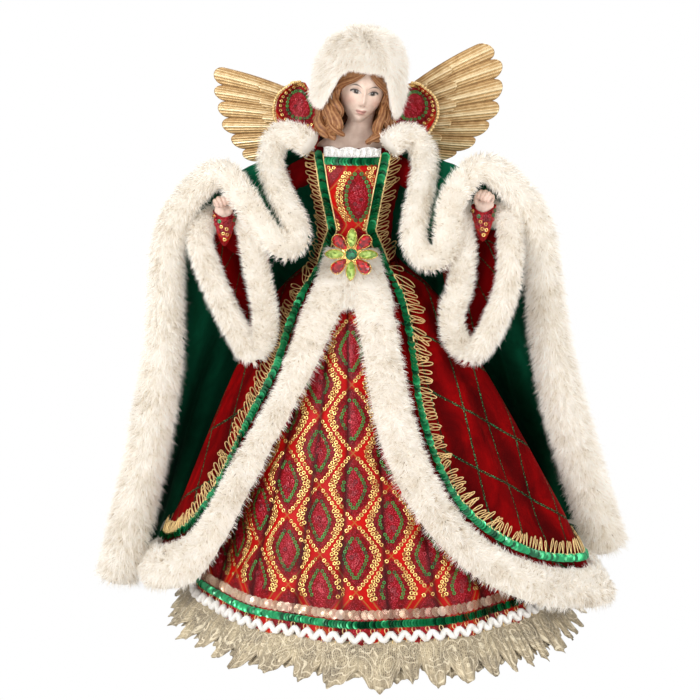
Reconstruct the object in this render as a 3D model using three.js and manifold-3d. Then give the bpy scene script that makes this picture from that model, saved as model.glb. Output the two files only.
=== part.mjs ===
// An angel tree topper: a stiff skirt cone with a stuffed torso, a cast head, hands and wings,
// and layered skirts, sleeves and a fur-edged cape. Millimetres, +Z up, the doll faces -Y.
import * as THREE from 'three';
import * as BufferGeometryUtils from 'three/addons/utils/BufferGeometryUtils.js';
import Module from 'manifold-3d';

const wasm = await Module();
wasm.setup();

// Driving dimensions of the whole figure
const drapeReach = 406;
const hemLean = 15;
const seam = 0.35;
const trimLift = 1.5;
const weld = 0.002;
const waistHeight = 250;
const waistRadius = 32;
const hemRadius = 130;
const leanRise = 12;
const leanHeight = waistHeight + leanRise;
const waistSeam = 0.1;

// Small vector and number helpers
const radians = THREE.MathUtils.degToRad;
const mix = THREE.MathUtils.lerp;
const clamp01 = (value) => Math.min(1, Math.max(0, value));
const ramp = (value, from, to) => clamp01((value - from) / (to - from));
const smooth = (value) => clamp01(value) ** 2 * (3 - 2 * clamp01(value));
const bump = (value, centre, width) => Math.exp(-(((value - centre) / width) ** 2));
const vec = (x, y, z) => new THREE.Vector3(x, y, z);
// Places round the torso: shares of the drape scale, with the waist at a fixed share of it
const waistShare = 0.6157635;
const fromShares = (shares) => shares.map(([x, y, z]) => (
  vec(x, y, z - waistShare).multiplyScalar(drapeReach).add(vec(0, 0, waistHeight))));
const mirrored = (points) => points.map((p) => vec(-p.x, p.y, p.z));

// A table of [position, value] shares, eased from each row to the next
function readTable(rows, at) {
  for (let i = 1; i < rows.length; i += 1) {
    if (at <= rows[i][0]) {
      const [a, b] = [rows[i - 1], rows[i]];
      return mix(a[1], b[1], smooth((at - a[0]) / (b[0] - a[0])));
    }
  }
  return rows.at(-1)[1];
}

// The volume enclosed by an indexed mesh; it is negative where the faces point inwards.
function enclosedVolume(position, index) {
  let sum = 0;
  const [a, b, c] = [vec(0, 0, 0), vec(0, 0, 0), vec(0, 0, 0)];
  for (let i = 0; i < index.count; i += 3) {
    a.fromBufferAttribute(position, index.getX(i));
    b.fromBufferAttribute(position, index.getX(i + 1));
    c.fromBufferAttribute(position, index.getX(i + 2));
    sum += a.dot(b.cross(c)) / 6;
  }
  return sum;
}

// A closed mesh from points and quads: shared points are merged, slivers dropped, faces turned out.
function closedGeometry(points, quads) {
  const raw = new THREE.BufferGeometry();
  raw.setAttribute('position', new THREE.Float32BufferAttribute(points.flatMap((p) => [p.x, p.y, p.z]), 3));
  raw.setIndex(quads.flatMap(([a, b, c, d]) => (d === undefined ? [a, b, c] : [a, b, c, a, c, d])));
  const merged = BufferGeometryUtils.mergeVertices(raw, weld);
  const kept = [];
  for (let i = 0; i < merged.index.count; i += 3) {
    const face = [0, 1, 2].map((k) => merged.index.getX(i + k));
    if (new Set(face).size === 3) kept.push(face);
  }
  merged.setIndex(kept.flat());
  if (enclosedVolume(merged.attributes.position, merged.index) < 0) {
    merged.setIndex(kept.flatMap(([a, b, c]) => [a, c, b]));
  }
  return merged;
}

// A closed body between two surfaces of the same (u, v), joined along their open borders.
function shell(outer, inner, columns, rows, wrap = false) {
  const points = [];
  const quads = [];
  const across = wrap ? columns : columns + 1;
  for (const surface of [outer, inner]) {
    for (let j = 0; j <= rows; j += 1) {
      for (let i = 0; i < across; i += 1) points.push(surface(i / columns, j / rows));
    }
  }
  const id = (layer, i, j) => layer * across * (rows + 1) + j * across + (wrap ? i % columns : i);
  for (let j = 0; j < rows; j += 1) {
    for (let i = 0; i < columns; i += 1) {
      quads.push([id(0, i, j), id(0, i + 1, j), id(0, i + 1, j + 1), id(0, i, j + 1)]);
      quads.push([id(1, i, j), id(1, i, j + 1), id(1, i + 1, j + 1), id(1, i + 1, j)]);
    }
    if (!wrap) {
      quads.push([id(0, 0, j), id(0, 0, j + 1), id(1, 0, j + 1), id(1, 0, j)]);
      quads.push([id(0, columns, j), id(1, columns, j), id(1, columns, j + 1), id(0, columns, j + 1)]);
    }
  }
  for (let i = 0; i < columns; i += 1) {
    quads.push([id(0, i, 0), id(1, i, 0), id(1, i + 1, 0), id(0, i + 1, 0)]);
    quads.push([id(0, i, rows), id(0, i + 1, rows), id(1, i + 1, rows), id(1, i, rows)]);
  }
  return closedGeometry(points, quads);
}

// A closed body through rings of points; the end rings are capped from their middles, or joined.
function loft(rings, joined = false) {
  const sides = rings[0].length;
  const points = rings.flat();
  const quads = [];
  const last = joined ? rings.length : rings.length - 1;
  for (let j = 0; j < last; j += 1) {
    const next = (j + 1) % rings.length;
    for (let i = 0; i < sides; i += 1) {
      const k = (i + 1) % sides;
      quads.push([j * sides + i, j * sides + k, next * sides + k, next * sides + i]);
    }
  }
  if (!joined) {
    for (const [ring, flip] of [[0, true], [rings.length - 1, false]]) {
      const middle = points.push(rings[ring].reduce((s, p) => s.add(p),
        vec(0, 0, 0)).divideScalar(sides)) - 1;
      for (let i = 0; i < sides; i += 1) {
        const [a, b] = [ring * sides + i, ring * sides + ((i + 1) % sides)];
        quads.push(flip ? [middle, b, a] : [middle, a, b]);
      }
    }
  }
  return closedGeometry(points, quads);
}

// Rings of a tube along points: size(t) gives the half width across and the half height of its section.
function tubeRings(route, steps, sides, size, joined = false) {
  const curve = new THREE.CatmullRomCurve3(route, joined, 'centripetal');
  const frames = curve.computeFrenetFrames(steps, joined);
  const rings = [];
  const count = joined ? steps : steps + 1;
  for (let j = 0; j < count; j += 1) {
    const [wide, high] = size(j / steps);
    const middle = curve.getPointAt(j / steps);
    rings.push(Array.from({ length: sides }, (_, i) => {
      const turn = (i / sides) * 2 * Math.PI;
      return middle.clone()
        .addScaledVector(frames.normals[j], Math.cos(turn) * wide)
        .addScaledVector(frames.binormals[j], Math.sin(turn) * high);
    }));
  }
  return rings;
}
const tube = (route, steps, sides, radius) => loft(tubeRings(route, steps, sides, () => [radius, radius]));

// Booleans on closed meshes
function solidOf(geometry) {
  const plain = geometry.clone();
  plain.deleteAttribute('normal');
  plain.deleteAttribute('uv');
  const merged = BufferGeometryUtils.mergeVertices(plain, weld);
  const vertProperties = Float32Array.from(merged.attributes.position.array);
  const triVerts = Uint32Array.from(merged.index.array);
  return new wasm.Manifold(new wasm.Mesh({ numProp: 3, vertProperties, triVerts }));
}
function geometryOf(solid) {
  const mesh = solid.getMesh();
  const geometry = new THREE.BufferGeometry();
  geometry.setAttribute('position', new THREE.BufferAttribute(mesh.vertProperties, 3));
  geometry.setIndex(new THREE.BufferAttribute(mesh.triVerts, 1));
  return geometry;
}
const joined = (...parts) => geometryOf(parts.map(solidOf).reduce((a, b) => a.add(b)));
const cut = (body, ...tools) => geometryOf(tools.map(solidOf).reduce((a, b) => a.subtract(b), solidOf(body)));

// The assembly: every piece is one named mesh with its own material.
const topper = new THREE.Group();
const finishes = {
  card: ['#c9bfae', 0.8, 0], linen: ['#e6dfd2', 0.9, 0], porcelain: ['#e9d9cf', 0.4, 0],
  hair: ['#a9654a', 0.5, 0], fur: ['#efe9df', 0.95, 0], wire: ['#8c8f94', 0.35, 1],
  steel: ['#9a9da1', 0.35, 1], gold: ['#b98d45', 0.45, 0.9], brocade: ['#c8100f', 0.4, 0.1],
  burgundy: ['#7a0008', 0.85, 0], green_velvet: ['#0a4b2e', 0.85, 0], lace: ['#f4efe6', 0.85, 0],
  green_sequin: ['#118a4c', 0.2, 0.6], gold_braid: ['#d3ab5a', 0.4, 0.8], gold_lace: ['#bfa878', 0.6, 0.3],
  paillette: ['#d9c7a8', 0.25, 0.4], white_braid: ['#f6f3ee', 0.9, 0], red_stone: ['#c3132b', 0.05, 0],
  lime_stone: ['#b8cf3e', 0.05, 0], emerald_stone: ['#0d6a45', 0.05, 0],
};
function place(name, geometry, finish) {
  const [color, roughness, metalness] = finishes[finish];
  const mesh = new THREE.Mesh(geometry, new THREE.MeshStandardMaterial({ color, roughness, metalness }));
  mesh.name = name;
  topper.add(mesh);
}

// The figure leans a little: its axis moves sideways towards the floor.
const axisX = (z) => hemLean * Math.max(0, 1 - z / leanHeight);
const around = (turn, radius, z) => vec(axisX(z) + radius * Math.sin(turn), -radius * Math.cos(turn), z);
function leaned(geometry) {
  const position = geometry.attributes.position;
  for (let i = 0; i < position.count; i += 1) position.setX(i, position.getX(i) + axisX(position.getZ(i)));
  return geometry;
}

// Skirt cone and its rim ring
const cone = { foot: 102, head: 15, wall: 1.5, waistDrop: 14, segments: 30 };
const coneTop = waistHeight - cone.waistDrop;
const rim = { width: 14, height: 3 };
const coneFloor = rim.height + seam;
function turned(profile, segments) {
  const closed = [...profile, profile[0]].map(([r, z]) => new THREE.Vector2(r, z));
  return leaned(closedFrom(new THREE.LatheGeometry(closed, segments).rotateX(Math.PI / 2)));
}
function closedFrom(geometry) {
  const { position } = geometry.attributes;
  const points = Array.from({ length: position.count },
    (_, i) => vec(0, 0, 0).fromBufferAttribute(position, i));
  const quads = [];
  for (let i = 0; i < geometry.index.count; i += 3) {
    quads.push([0, 1, 2].map((k) => geometry.index.getX(i + k)));
  }
  return closedGeometry(points, quads);
}
place('body_cone', turned([
  [cone.foot - cone.wall, coneFloor], [cone.foot, coneFloor],
  [cone.head + cone.wall, coneTop], [cone.head, coneTop],
], cone.segments), 'card');
place('cone_rim_ring', turned([
  [cone.foot - rim.width, 0], [cone.foot, 0], [cone.foot, rim.height], [cone.foot - rim.width, rim.height],
], cone.segments), 'card');

// Skirt surfaces: radius as a function of the turn and the height
const skirtSlope = (hemRadius - waistRadius) / waistHeight;
const pinch = { depth: 6, height: 38 };
const coneRadius = (z) => waistRadius + skirtSlope * (waistHeight - z)
  - pinch.depth * smooth((z - waistHeight + pinch.height) / pinch.height);
const fall = (z) => clamp01((waistHeight - z) / waistHeight);
const pleat = (turn, count, phase) => 0.5 + 0.5 * Math.cos(count * turn + phase);

const underskirt = { folds: 11, foldDepth: 3, phase: 0.6, thickness: 0.7, hem: 6, columns: 55, rows: 4 };
const underskirtTop = waistHeight - waistSeam;
const underRadius = (turn, z) => coneRadius(z) + underskirt.foldDepth * fall(z) * pleat(
  turn, underskirt.folds, underskirt.phase,
);
const underPoint = (extra) => (u, v) => {
  const z = mix(underskirtTop, underskirt.hem, v);
  return around(u * 2 * Math.PI, underRadius(u * 2 * Math.PI, z) + extra, z);
};
place('underskirt', shell(
  underPoint(underskirt.thickness), underPoint(0), underskirt.columns, underskirt.rows, true,
), 'brocade');

// Bands round the underskirt's hem, each a thin ring lying on the cloth
const hemBand = { columns: 40, lift: 1.1 };
const paillettes = { low: 42, high: 47, thickness: 0.8 };
const hemSequins = { low: 36, high: 41.4, thickness: 1 };
const ricRac = { low: 26.5, high: 35.4, thickness: 2.6 };
const ruffle = { low: 0.6, high: 25.6, flare: 9, thickness: 0.6, gathers: 22, gatherDepth: 2.2,
  tipShare: 0.45 };
function hemRing(band) {
  const face = (extra) => (u, v) => {
    const z = mix(band.high, band.low, v);
    const turn = u * 2 * Math.PI;
    return around(turn, underRadius(turn, z) + underskirt.thickness + hemBand.lift + extra, z);
  };
  return shell(face(band.thickness), face(0), hemBand.columns, 1, true);
}
place('hem_paillette_ribbon', hemRing(paillettes), 'paillette');
place('hem_sequin_band', hemRing(hemSequins), 'green_sequin');
place('hem_ric_rac', hemRing(ricRac), 'white_braid');

// The lace ruffle hangs from under the ric-rac and flares to leaf tips at the floor.
const rufflePoint = (extra) => (u, v) => {
  const turn = u * 2 * Math.PI;
  const leaf = Math.abs(Math.sin(ruffle.gathers * turn / 2));
  const length = (ruffle.high - ruffle.low) * (1 - ruffle.tipShare * (1 - leaf) * v);
  const z = ruffle.high - v * length;
  const out = v * (ruffle.flare + ruffle.gatherDepth * pleat(turn, ruffle.gathers, 0));
  return around(turn, underRadius(turn, z) + underskirt.thickness + hemBand.lift / 2 + out * 0.9 + extra, z);
};
place('lace_ruffle', shell(rufflePoint(ruffle.thickness), rufflePoint(0), ruffle.gathers * 2, 2, true),
  'gold_lace');

// Overskirt: open in front, its edge runs down the left, round the hem and up the right.
const overskirt = {
  waistDrop: 1, thickness: 1.2, standoff: 6, waistGap: 1.1, easeShare: 0.07, folds: 13, foldDepth: 3.2,
    columns: 64, rows: 4,
};
const overskirtTop = waistHeight - overskirt.waistDrop;
const coatEdgeTurns = [-13, -17, -23.5, -29, -37, -45.5, -50.5, -53.5, -58, -66, -80, -100, -130, -180,
  -230, -260, -280, -296, -309, -320, -330, -337, -341.3, -342.3, -343, -344.5, -347];
const coatEdgeShares = [0.996, 0.944, 0.872, 0.784, 0.668, 0.548, 0.424, 0.316, 0.232, 0.188, 0.172, 0.168,
  0.168, 0.168, 0.168, 0.168, 0.16, 0.176, 0.224, 0.296, 0.392, 0.5, 0.616, 0.732, 0.84, 0.928, 0.996];
const coatEdge = new THREE.CatmullRomCurve3(coatEdgeTurns.map((turn, i) => (
  vec(radians(turn) * hemRadius, coatEdgeShares[i] * waistHeight, 0))), false, 'centripetal');
const coatFlareShares = [[-360, 0], [-347, 0], [-322, 0.1], [-302, 0.55], [-285, 1], [-272, 0.72],
  [-258, 0.28],
  [-225, 0.15], [-180, 0.2], [-130, 0.15], [-100, 0.4], [-84, 0.78], [-72, 0.74], [-55, 0.3], [-40, 0.08],
    [0, 0]];
const flare = { reach: 38, fullness: 0.6 };
function coatRadius(turn, z) {
  const share = readTable(coatFlareShares, THREE.MathUtils.radToDeg(turn));
  const open = share * flare.reach * fall(z) ** flare.fullness;
  const swell = Math.sin(Math.PI * Math.min(1, fall(z) * 1.12)) * overskirt.foldDepth;
  const standoff = mix(overskirt.waistGap, overskirt.standoff, smooth(fall(z) / overskirt.easeShare));
  return coneRadius(z) + standoff + open + swell * pleat(turn, overskirt.folds, 0);
}
// The point of the coat's edge at a share of its length, moved inwards over the cloth by an offset.
function coatEdgeAt(share, offset) {
  const at = coatEdge.getPointAt(clamp01(share));
  const along = coatEdge.getTangentAt(clamp01(share));
  const turn = at.x / hemRadius;
  const radius = coatRadius(turn, at.y);
  const slope = vec(along.x / hemRadius * radius, along.y, 0).normalize();
  return { turn: turn + slope.y * offset / radius, z: at.y - slope.x * offset };
}
function coatPoint(extra) {
  const [first, last] = [coatEdgeTurns[0], coatEdgeTurns.at(-1)].map(radians);
  return (u, v) => {
    const at = coatEdge.getPointAt(u);
    const turn = at.x / hemRadius;
    const progress = 0.8 * (turn - first) / (last - first) + 0.2 * u;
    const z = mix(overskirtTop, Math.min(at.y, overskirtTop - overskirt.thickness * (1 + v)), v);
    const here = mix(mix(first, last, progress), turn, v);
    return around(here, coatRadius(here, z) + extra, z);
  };
}
place('overskirt', shell(
  coatPoint(overskirt.thickness), coatPoint(0), overskirt.columns, overskirt.rows,
), 'burgundy');

// Trims along the overskirt's edge; a positive offset lies inwards, on the velvet.
const coatFur = { half: 13, thickness: 9, thinning: 3, lift: 0.8, segments: 60, across: 2 };
const coatRibbon = { middle: 16.2, half: 2.6, thickness: 1 };
const coatBraid = { middle: 23.6, half: 4.2, thickness: 0.8 };
const trimEnds = { start: 0.008, stop: 0.992 };
function coatTrim(middle, half, thickness, segments, across, round) {
  const face = (outside) => (u, v) => {
    const w = v * 2 - 1;
    const { turn, z } = coatEdgeAt(mix(trimEnds.start, trimEnds.stop, u), middle + w * half);
    const thinned = thickness - coatFur.thinning * z / waistHeight;
    const pile = round ? thinned * Math.max(0.25, Math.sqrt(1 - w * w)) : thickness;
    const lift = trimLift + (round ? coatFur.lift : 0);
    return around(turn, coatRadius(turn, z) + overskirt.thickness + lift + (outside ? pile : 0), z);
  };
  return shell(face(true), face(false), segments, across);
}
place('overskirt_fur_edge', coatTrim(
  0, coatFur.half, coatFur.thickness, coatFur.segments, coatFur.across, true,
), 'fur');
place('overskirt_sequin_ribbon', coatTrim(
  coatRibbon.middle, coatRibbon.half, coatRibbon.thickness, coatFur.segments, 1, false,
), 'green_sequin');
place('overskirt_loop_braid', coatTrim(
  coatBraid.middle, coatBraid.half, coatBraid.thickness, coatFur.segments, 1, false,
), 'gold_braid');

// Torso and bodice: ellipses whose half widths follow the height
const bodice = { thickness: 1.2, low: waistHeight + seam, tall: 75.65, columns: 28, rows: 5 };
const bodiceHigh = bodice.low + bodice.tall;
const bodiceWidthShares = [[0, 1], [0.15, 0.88], [0.35, 0.92], [0.68, 1.08], [0.9, 1.14], [1, 1.08]];
const bodiceDepthShares = [[0, 1], [0.15, 0.9], [0.35, 0.95], [0.68, 1.1], [0.9, 0.9], [1, 0.76]];
const bodiceGirth = { width: 27.5, depth: 24.5 };
const bodiceRise = (z) => clamp01((z - bodice.low) / (bodiceHigh - bodice.low));
const bodiceHalf = (z, extra) => [
  bodiceGirth.width * readTable(bodiceWidthShares, bodiceRise(z)) + extra,
  bodiceGirth.depth * readTable(bodiceDepthShares, bodiceRise(z)) + extra,
];
const bodicePoint = (extra) => (u, v) => {
  const z = mix(bodice.low, bodiceHigh, v);
  const [wide, deep] = bodiceHalf(z, extra);
  return vec(axisX(z) + wide * Math.sin(u * 2 * Math.PI), -deep * Math.cos(u * 2 * Math.PI), z);
};
place('bodice', shell(bodicePoint(0), bodicePoint(-bodice.thickness), bodice.columns, bodice.rows, true),
  'burgundy');

const torso = { sides: 24, drop: 15, inset: 3, footInset: 7 };
const torsoTop = bodiceHigh - torso.drop;
const torsoHeights = [coneTop + seam, bodice.low,
  ...[0.22, 0.43, 0.65, 0.85].map((t) => mix(bodice.low, torsoTop, t)),
  torsoTop];
place('torso_form', loft(torsoHeights.map((z, level) => {
  const [wide, deep] = bodiceHalf(z, -torso.inset - (level === 0 ? torso.footInset : 0));
  return Array.from({ length: torso.sides }, (_, i) => {
    const turn = (i / torso.sides) * 2 * Math.PI;
    return vec(axisX(z) + wide * Math.sin(turn), -deep * Math.cos(turn), z);
  });
})), 'linen');

// Trims lying on the bodice's front, placed by their distance from its middle line
const trimFoot = 22.65;
const trimHead = 3.5;
const frontTrim = {
  lift: 1.1, spread: 22, pinch: 12.5, low: bodice.low + trimFoot, high: bodiceHigh - trimHead,
};
function frontPoint(x, z, extra) {
  const [wide, deep] = bodiceHalf(z, extra);
  return vec(axisX(z) + x, -deep * Math.sqrt(1 - Math.min(0.99, (x / wide) ** 2)), z);
}
const stripMiddle = (z) => mix(frontTrim.pinch, frontTrim.spread,
  (z - frontTrim.low) / (frontTrim.high - frontTrim.low));
function frontPatch(low, high, left, right, thickness, columns, rows, edge = () => 0) {
  const face = (extra) => (u, v) => {
    const z = mix(low, high + edge(u), v);
    return frontPoint(mix(left(z), right(z), u), z, frontTrim.lift + extra);
  };
  return shell(face(thickness), face(0), columns, rows);
}
const neckDrop = 9.5;
const neckWidth = 5;
const ribbon = { half: 2.7, thickness: 1, gap: 0.5 };
const loopBraid = { half: 3.6, thickness: 0.7, gap: 1 };
const laceGap = 0.8;
const laceTall = 5.7;
const neckRibbon = { low: bodiceHigh - neckDrop, high: bodiceHigh - neckDrop + neckWidth };
const neckLace = { low: neckRibbon.high + laceGap, high: neckRibbon.high + laceGap + laceTall, scallop: 2,
  thickness: 0.6, scallops: 5 };
const panelHalf = (z) => stripMiddle(z) - ribbon.half - ribbon.gap;
place('bodice_panel', frontPatch(
  frontTrim.low, neckRibbon.low - ribbon.gap, (z) => -panelHalf(z), panelHalf, ribbon.thickness, 8, 5,
), 'brocade');
place('neckline_sequin_ribbon', frontPatch(
  neckRibbon.low, neckRibbon.high, (z) => -panelHalf(z), panelHalf, ribbon.thickness, 8, 1,
), 'green_sequin');
place('neckline_lace', frontPatch(
  neckLace.low, neckLace.high, (z) => -panelHalf(z), panelHalf, neckLace.thickness, neckLace.scallops * 4, 1,
  (u) => neckLace.scallop * Math.abs(Math.sin(u * Math.PI * neckLace.scallops)) - neckLace.scallop,
), 'lace');
for (const [side, name] of [[-1, 'left'], [1, 'right']]) {
  const strip = (inner, outer) => [(z) => side * (stripMiddle(z) + inner),
    (z) => side * (stripMiddle(z) + outer)];
  place(`bodice_sequin_ribbon_${name}`, frontPatch(
    frontTrim.low, frontTrim.high, ...strip(-ribbon.half, ribbon.half), ribbon.thickness, 1, 6,
  ), 'green_sequin');
  const start = ribbon.half + loopBraid.gap;
  place(`bodice_loop_braid_${name}`, frontPatch(
    frontTrim.low, frontTrim.high, ...strip(start, start + loopBraid.half * 2), loopBraid.thickness, 2, 6,
  ), 'gold_braid');
}

const neckTall = 27;
const headRise = 40;
// Head: one casting of face, neck and shoulder plate; the head is turned, rolled and nodded a little.
const head = { x: 9, y: -7, wide: 15, deep: 17, tall: 21.5, yaw: 12, roll: 5, nod: 4, columns: 20, rows: 15 };
const headPose = new THREE.Matrix4().makeTranslation(head.x, head.y, bodiceHigh + headRise)
  .multiply(new THREE.Matrix4().makeRotationZ(radians(head.yaw)))
  .multiply(new THREE.Matrix4().makeRotationY(radians(head.roll)))
  .multiply(new THREE.Matrix4().makeRotationX(radians(head.nod)));
const posed = (geometry) => geometry.applyMatrix4(headPose);
const features = { nose: 3.4, brow: 0.7, lips: 1, socket: 1.2, chin: 1.4 };
function headPoint(u, v) {
  const turn = u * 2 * Math.PI;
  const rise = (v - 0.5) * Math.PI;
  const [side, front, up] = [Math.sin(turn) * Math.cos(rise), Math.cos(turn) * Math.cos(rise),
    Math.sin(rise)];
  const jaw = 1 - 0.3 * clamp01(-up) ** 1.6;
  const facing = clamp01(front * 3);
  const height = up * head.tall;
  const t = side / 0.9;
  const relief = features.nose * bump(t, 0, 0.16) * bump(up, -0.22, 0.16)
    + features.brow * bump(up, 0.13, 0.1)
    - features.socket * (bump(t, -0.36, 0.17) + bump(t, 0.36, 0.17)) * bump(up, 0, 0.1)
    + features.lips * bump(t, 0, 0.2) * bump(up, -0.52, 0.09)
    + features.chin * bump(t, 0, 0.28) * bump(up, -0.85, 0.16);
  return vec(side * head.wide * jaw, -front * head.deep * (1 - 0.12 * clamp01(-up)) - relief * facing,
    height);
}
function ballMesh(point, columns, rows) {
  const rings = Array.from({ length: rows - 1 }, (_, j) => (
    Array.from({ length: columns }, (__, i) => point(i / columns, (j + 1) / rows))));
  return loft(rings);
}
const ellipseRing = ([x, y, z, wide, deep], sides) => Array.from({ length: sides }, (_, i) => {
  const turn = (i / sides) * 2 * Math.PI;
  return vec(x + wide * Math.sin(turn), y - deep * Math.cos(turn), z);
});
const plate = { sides: 18, foot: torsoTop + seam, neckTop: bodiceHigh + neckTall, half: 27.5 };
// Rows of the plate: middle x and y and half width and depth over the plate's half width, then the height
// from foot to neck
const plateShares = [[0, 0, 0, 0.98, 0.58], [0, 0, 0.184, 1, 0.6], [0.02, -0.036, 0.352, 0.91, 0.545],
  [0.036, -0.073, 0.472, 0.69, 0.455], [0.08, -0.109, 0.592, 0.418, 0.364],
    [0.131, -0.145, 0.712, 0.32, 0.32],
  [0.24, -0.2, 1, 0.305, 0.305]];
const plateRing = ([x, y, rise, wide, deep]) => ellipseRing(
  [x * plate.half, y * plate.half, mix(plate.foot, plate.neckTop, rise), wide * plate.half,
    deep * plate.half], plate.sides);
place('head_bust', joined(
  posed(ballMesh(headPoint, head.columns, head.rows)), loft(plateShares.map(plateRing)),
), 'porcelain');

// Hair: a moulded wavy shell round the head, open at the face, with locks down to the shoulders
const hair = {
  open: 44, gap: 0.7, crownGap: 2.7, body: 3.2, wave: 0.7, waves: 9, low: -30, high: 12, flareLeft: 5,
    flareRight: 1,
  columns: 24, rows: 4,
};
const hairPoint = (outside) => (u, v) => {
  const turn = mix(radians(hair.open), 2 * Math.PI - radians(hair.open), u);
  const z = mix(hair.low, hair.high, v);
  const crown = Math.sqrt(1 - (Math.max(0, z) / (head.tall + hair.crownGap)) ** 2);
  const drop = smooth((z / hair.low - 0.55) / 0.45);
  const spread = drop * (Math.sin(turn) > 0 ? hair.flareRight : hair.flareLeft) * Math.abs(Math.sin(turn));
  const waves = hair.wave * Math.cos(turn * hair.waves + z / hair.body);
  const out = hair.gap + (outside ? hair.body + waves + spread : spread * 0.5);
  return vec((head.wide * crown + out) * Math.sin(turn), -(head.deep * crown + out) * Math.cos(turn), z);
};
place('hair', posed(shell(hairPoint(true), hairPoint(false), hair.columns, hair.rows)), 'hair');

// Hat: a fur hood whose lower edge rises over the face
const hat = {
  wide: 31, deep: 31, tall: 35.5, wall: 4.6, lift: 4.5, low: -19, nape: 3, brow: 15, shift: -3, back: 1,
  faceFrom: 36, faceTo: 66, crownOpen: 1.2, columns: 24, rows: 5,
};
function hatPoint(outside) {
  return (u, v) => {
    const turn = u * 2 * Math.PI - Math.PI;
    const faceEdge = 1 - ramp(Math.abs(turn), radians(hat.faceFrom), radians(hat.faceTo));
    const edge = mix(hat.low - hat.nape * Math.abs(Math.cos(turn / 2)), hat.brow, smooth(faceEdge));
    const low = Math.asin((edge - hat.lift) / hat.tall);
    const rise = mix(low, Math.PI / 2 - radians(hat.crownOpen), v);
    const shrink = outside ? 0 : hat.wall;
    const belly = rise < 0 ? 1 : Math.cos(rise);
    const side = (hat.wide - shrink) * mix(belly, Math.cos(rise), 0.35);
    const front = (hat.deep - shrink) * mix(belly, Math.cos(rise), 0.35);
    const up = hat.lift + (hat.tall - shrink) * Math.sin(rise);
    return vec(side * Math.sin(turn) + hat.shift * mix(1, 0.4, v), hat.back - front * Math.cos(turn), up);
  };
}
place('hat', posed(shell(hatPoint(true), hatPoint(false), hat.columns, hat.rows, true)), 'fur');

// Arms: a padded tube with a wire in its bore on each side, then the cast hand and its pointed cuff
const arm = { pad: 5.4, bore: 1.6, wire: 1, steps: 6, segments: 5 };
const handPlace = { left: fromShares([[-0.199, -0.089, 0.716]])[0],
  right: fromShares([[0.212, -0.089, 0.73]])[0] };
const armShares = [[0.0823, 0, 0.758], [0.122, -0.006, 0.73], [0.142, -0.02, 0.684],
  [0.162, -0.045, 0.652], [0.182, -0.07, 0.65]];
const wrist = { drop: 14.15, back: 2.95 };
const wristOf = (side) => handPlace[side].clone().add(vec(0, wrist.back, -wrist.drop));
const armRoutes = {
  left: [...mirrored(fromShares(armShares)), wristOf('left')],
    right: [...fromShares(armShares), wristOf('right')],
};
for (const side of ['left', 'right']) {
  const route = armRoutes[side];
  const outline = new THREE.Shape().absarc(0, 0, arm.pad, 0, 2 * Math.PI);
  outline.holes.push(new THREE.Path().absarc(0, 0, arm.bore, 0, 2 * Math.PI, true));
  const along = new THREE.CatmullRomCurve3(route);
  place(`arm_padding_${side}`, solidGeometry(new THREE.ExtrudeGeometry(
    outline, { steps: arm.steps, curveSegments: arm.segments, extrudePath: along },
  )), 'linen');
  place(`arm_wire_${side}`, tube(route, arm.steps, 6, arm.wire), 'wire');
}
function solidGeometry(geometry) {
  const plain = geometry.clone();
  plain.deleteAttribute('normal');
  plain.deleteAttribute('uv');
  return BufferGeometryUtils.mergeVertices(plain, weld);
}

const hand = { palm: [5.2, 4.2, 6.6], wrist: 3.6, finger: 1.75, thumb: 1.9, reach: 9, spread: 2.5,
  fingers: 4 };
const fingerShares = [[0.8, -0.11, 0.29], [1, -0.4, 0.95], [1, -0.78, 0.85], [0.9, -0.82, 0.35]];
const thumbShares = [[0.4, -0.11, -0.22], [0.71, -0.44, 0.22], [0.62, -0.71, 0.71]];
const wristShares = [[0, 0.055, 0], [0, 0.11, -0.67], [0, 0.135, -1.36]];
const ellipsoid = (centre, [a, b, c]) => solidGeometry(
  new THREE.SphereGeometry(1, 8, 6).scale(a, b, c).translate(centre.x, centre.y, centre.z));
const rounded = (points, radius) => loft(tubeRings(points, 3, 5, (t) => {
  const r = radius * Math.sqrt(Math.max(0.12, 1 - (2 * t - 1) ** 6));
  return [r, r];
}));
function handGeometry(side) {
  const s = side === 'left' ? -1 : 1;
  const scaled = (shares, x) => shares.map(([a, b, c]) => vec(a * x, b * hand.reach, c * hand.reach));
  const parts = [ellipsoid(vec(0, 0, 0), hand.palm)];
  for (let i = 0; i < hand.fingers; i += 1) {
    const x = (i - (hand.fingers - 1) / 2) * hand.spread;
    parts.push(rounded(scaled(fingerShares, x), hand.finger));
  }
  parts.push(rounded(scaled(thumbShares, -s * hand.reach), hand.thumb));
  parts.push(rounded(scaled(wristShares, hand.reach), hand.wrist));
  const turnOut = new THREE.Matrix4().makeRotationFromEuler(new THREE.Euler(-0.15, s * 0.35, -s * 0.35));
  return joined(...parts).applyMatrix4(turnOut).translate(handPlace[side].x, handPlace[side].y,
    handPlace[side].z);
}
const cuff = { columns: 14, rows: 2, high: -3.5, low: -9, point: 16, radius: 7.1, wall: 0.9 };
function cuffGeometry(side) {
  const face = (extra) => (u, v) => {
    const turn = u * 2 * Math.PI;
    const tip = cuff.point * smooth(clamp01(Math.cos(turn)));
    const z = mix(cuff.high, cuff.low - tip, v);
    const radius = cuff.radius + extra;
    return vec(radius * Math.sin(turn), -radius * Math.cos(turn), z);
  };
  return shell(face(0), face(-cuff.wall), cuff.columns, cuff.rows, true)
    .translate(handPlace[side].x, handPlace[side].y, handPlace[side].z);
}
for (const side of ['left', 'right']) {
  place(`hand_${side}`, handGeometry(side), 'porcelain');
  place(`cuff_${side}`, cuffGeometry(side), 'brocade');
}

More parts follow.
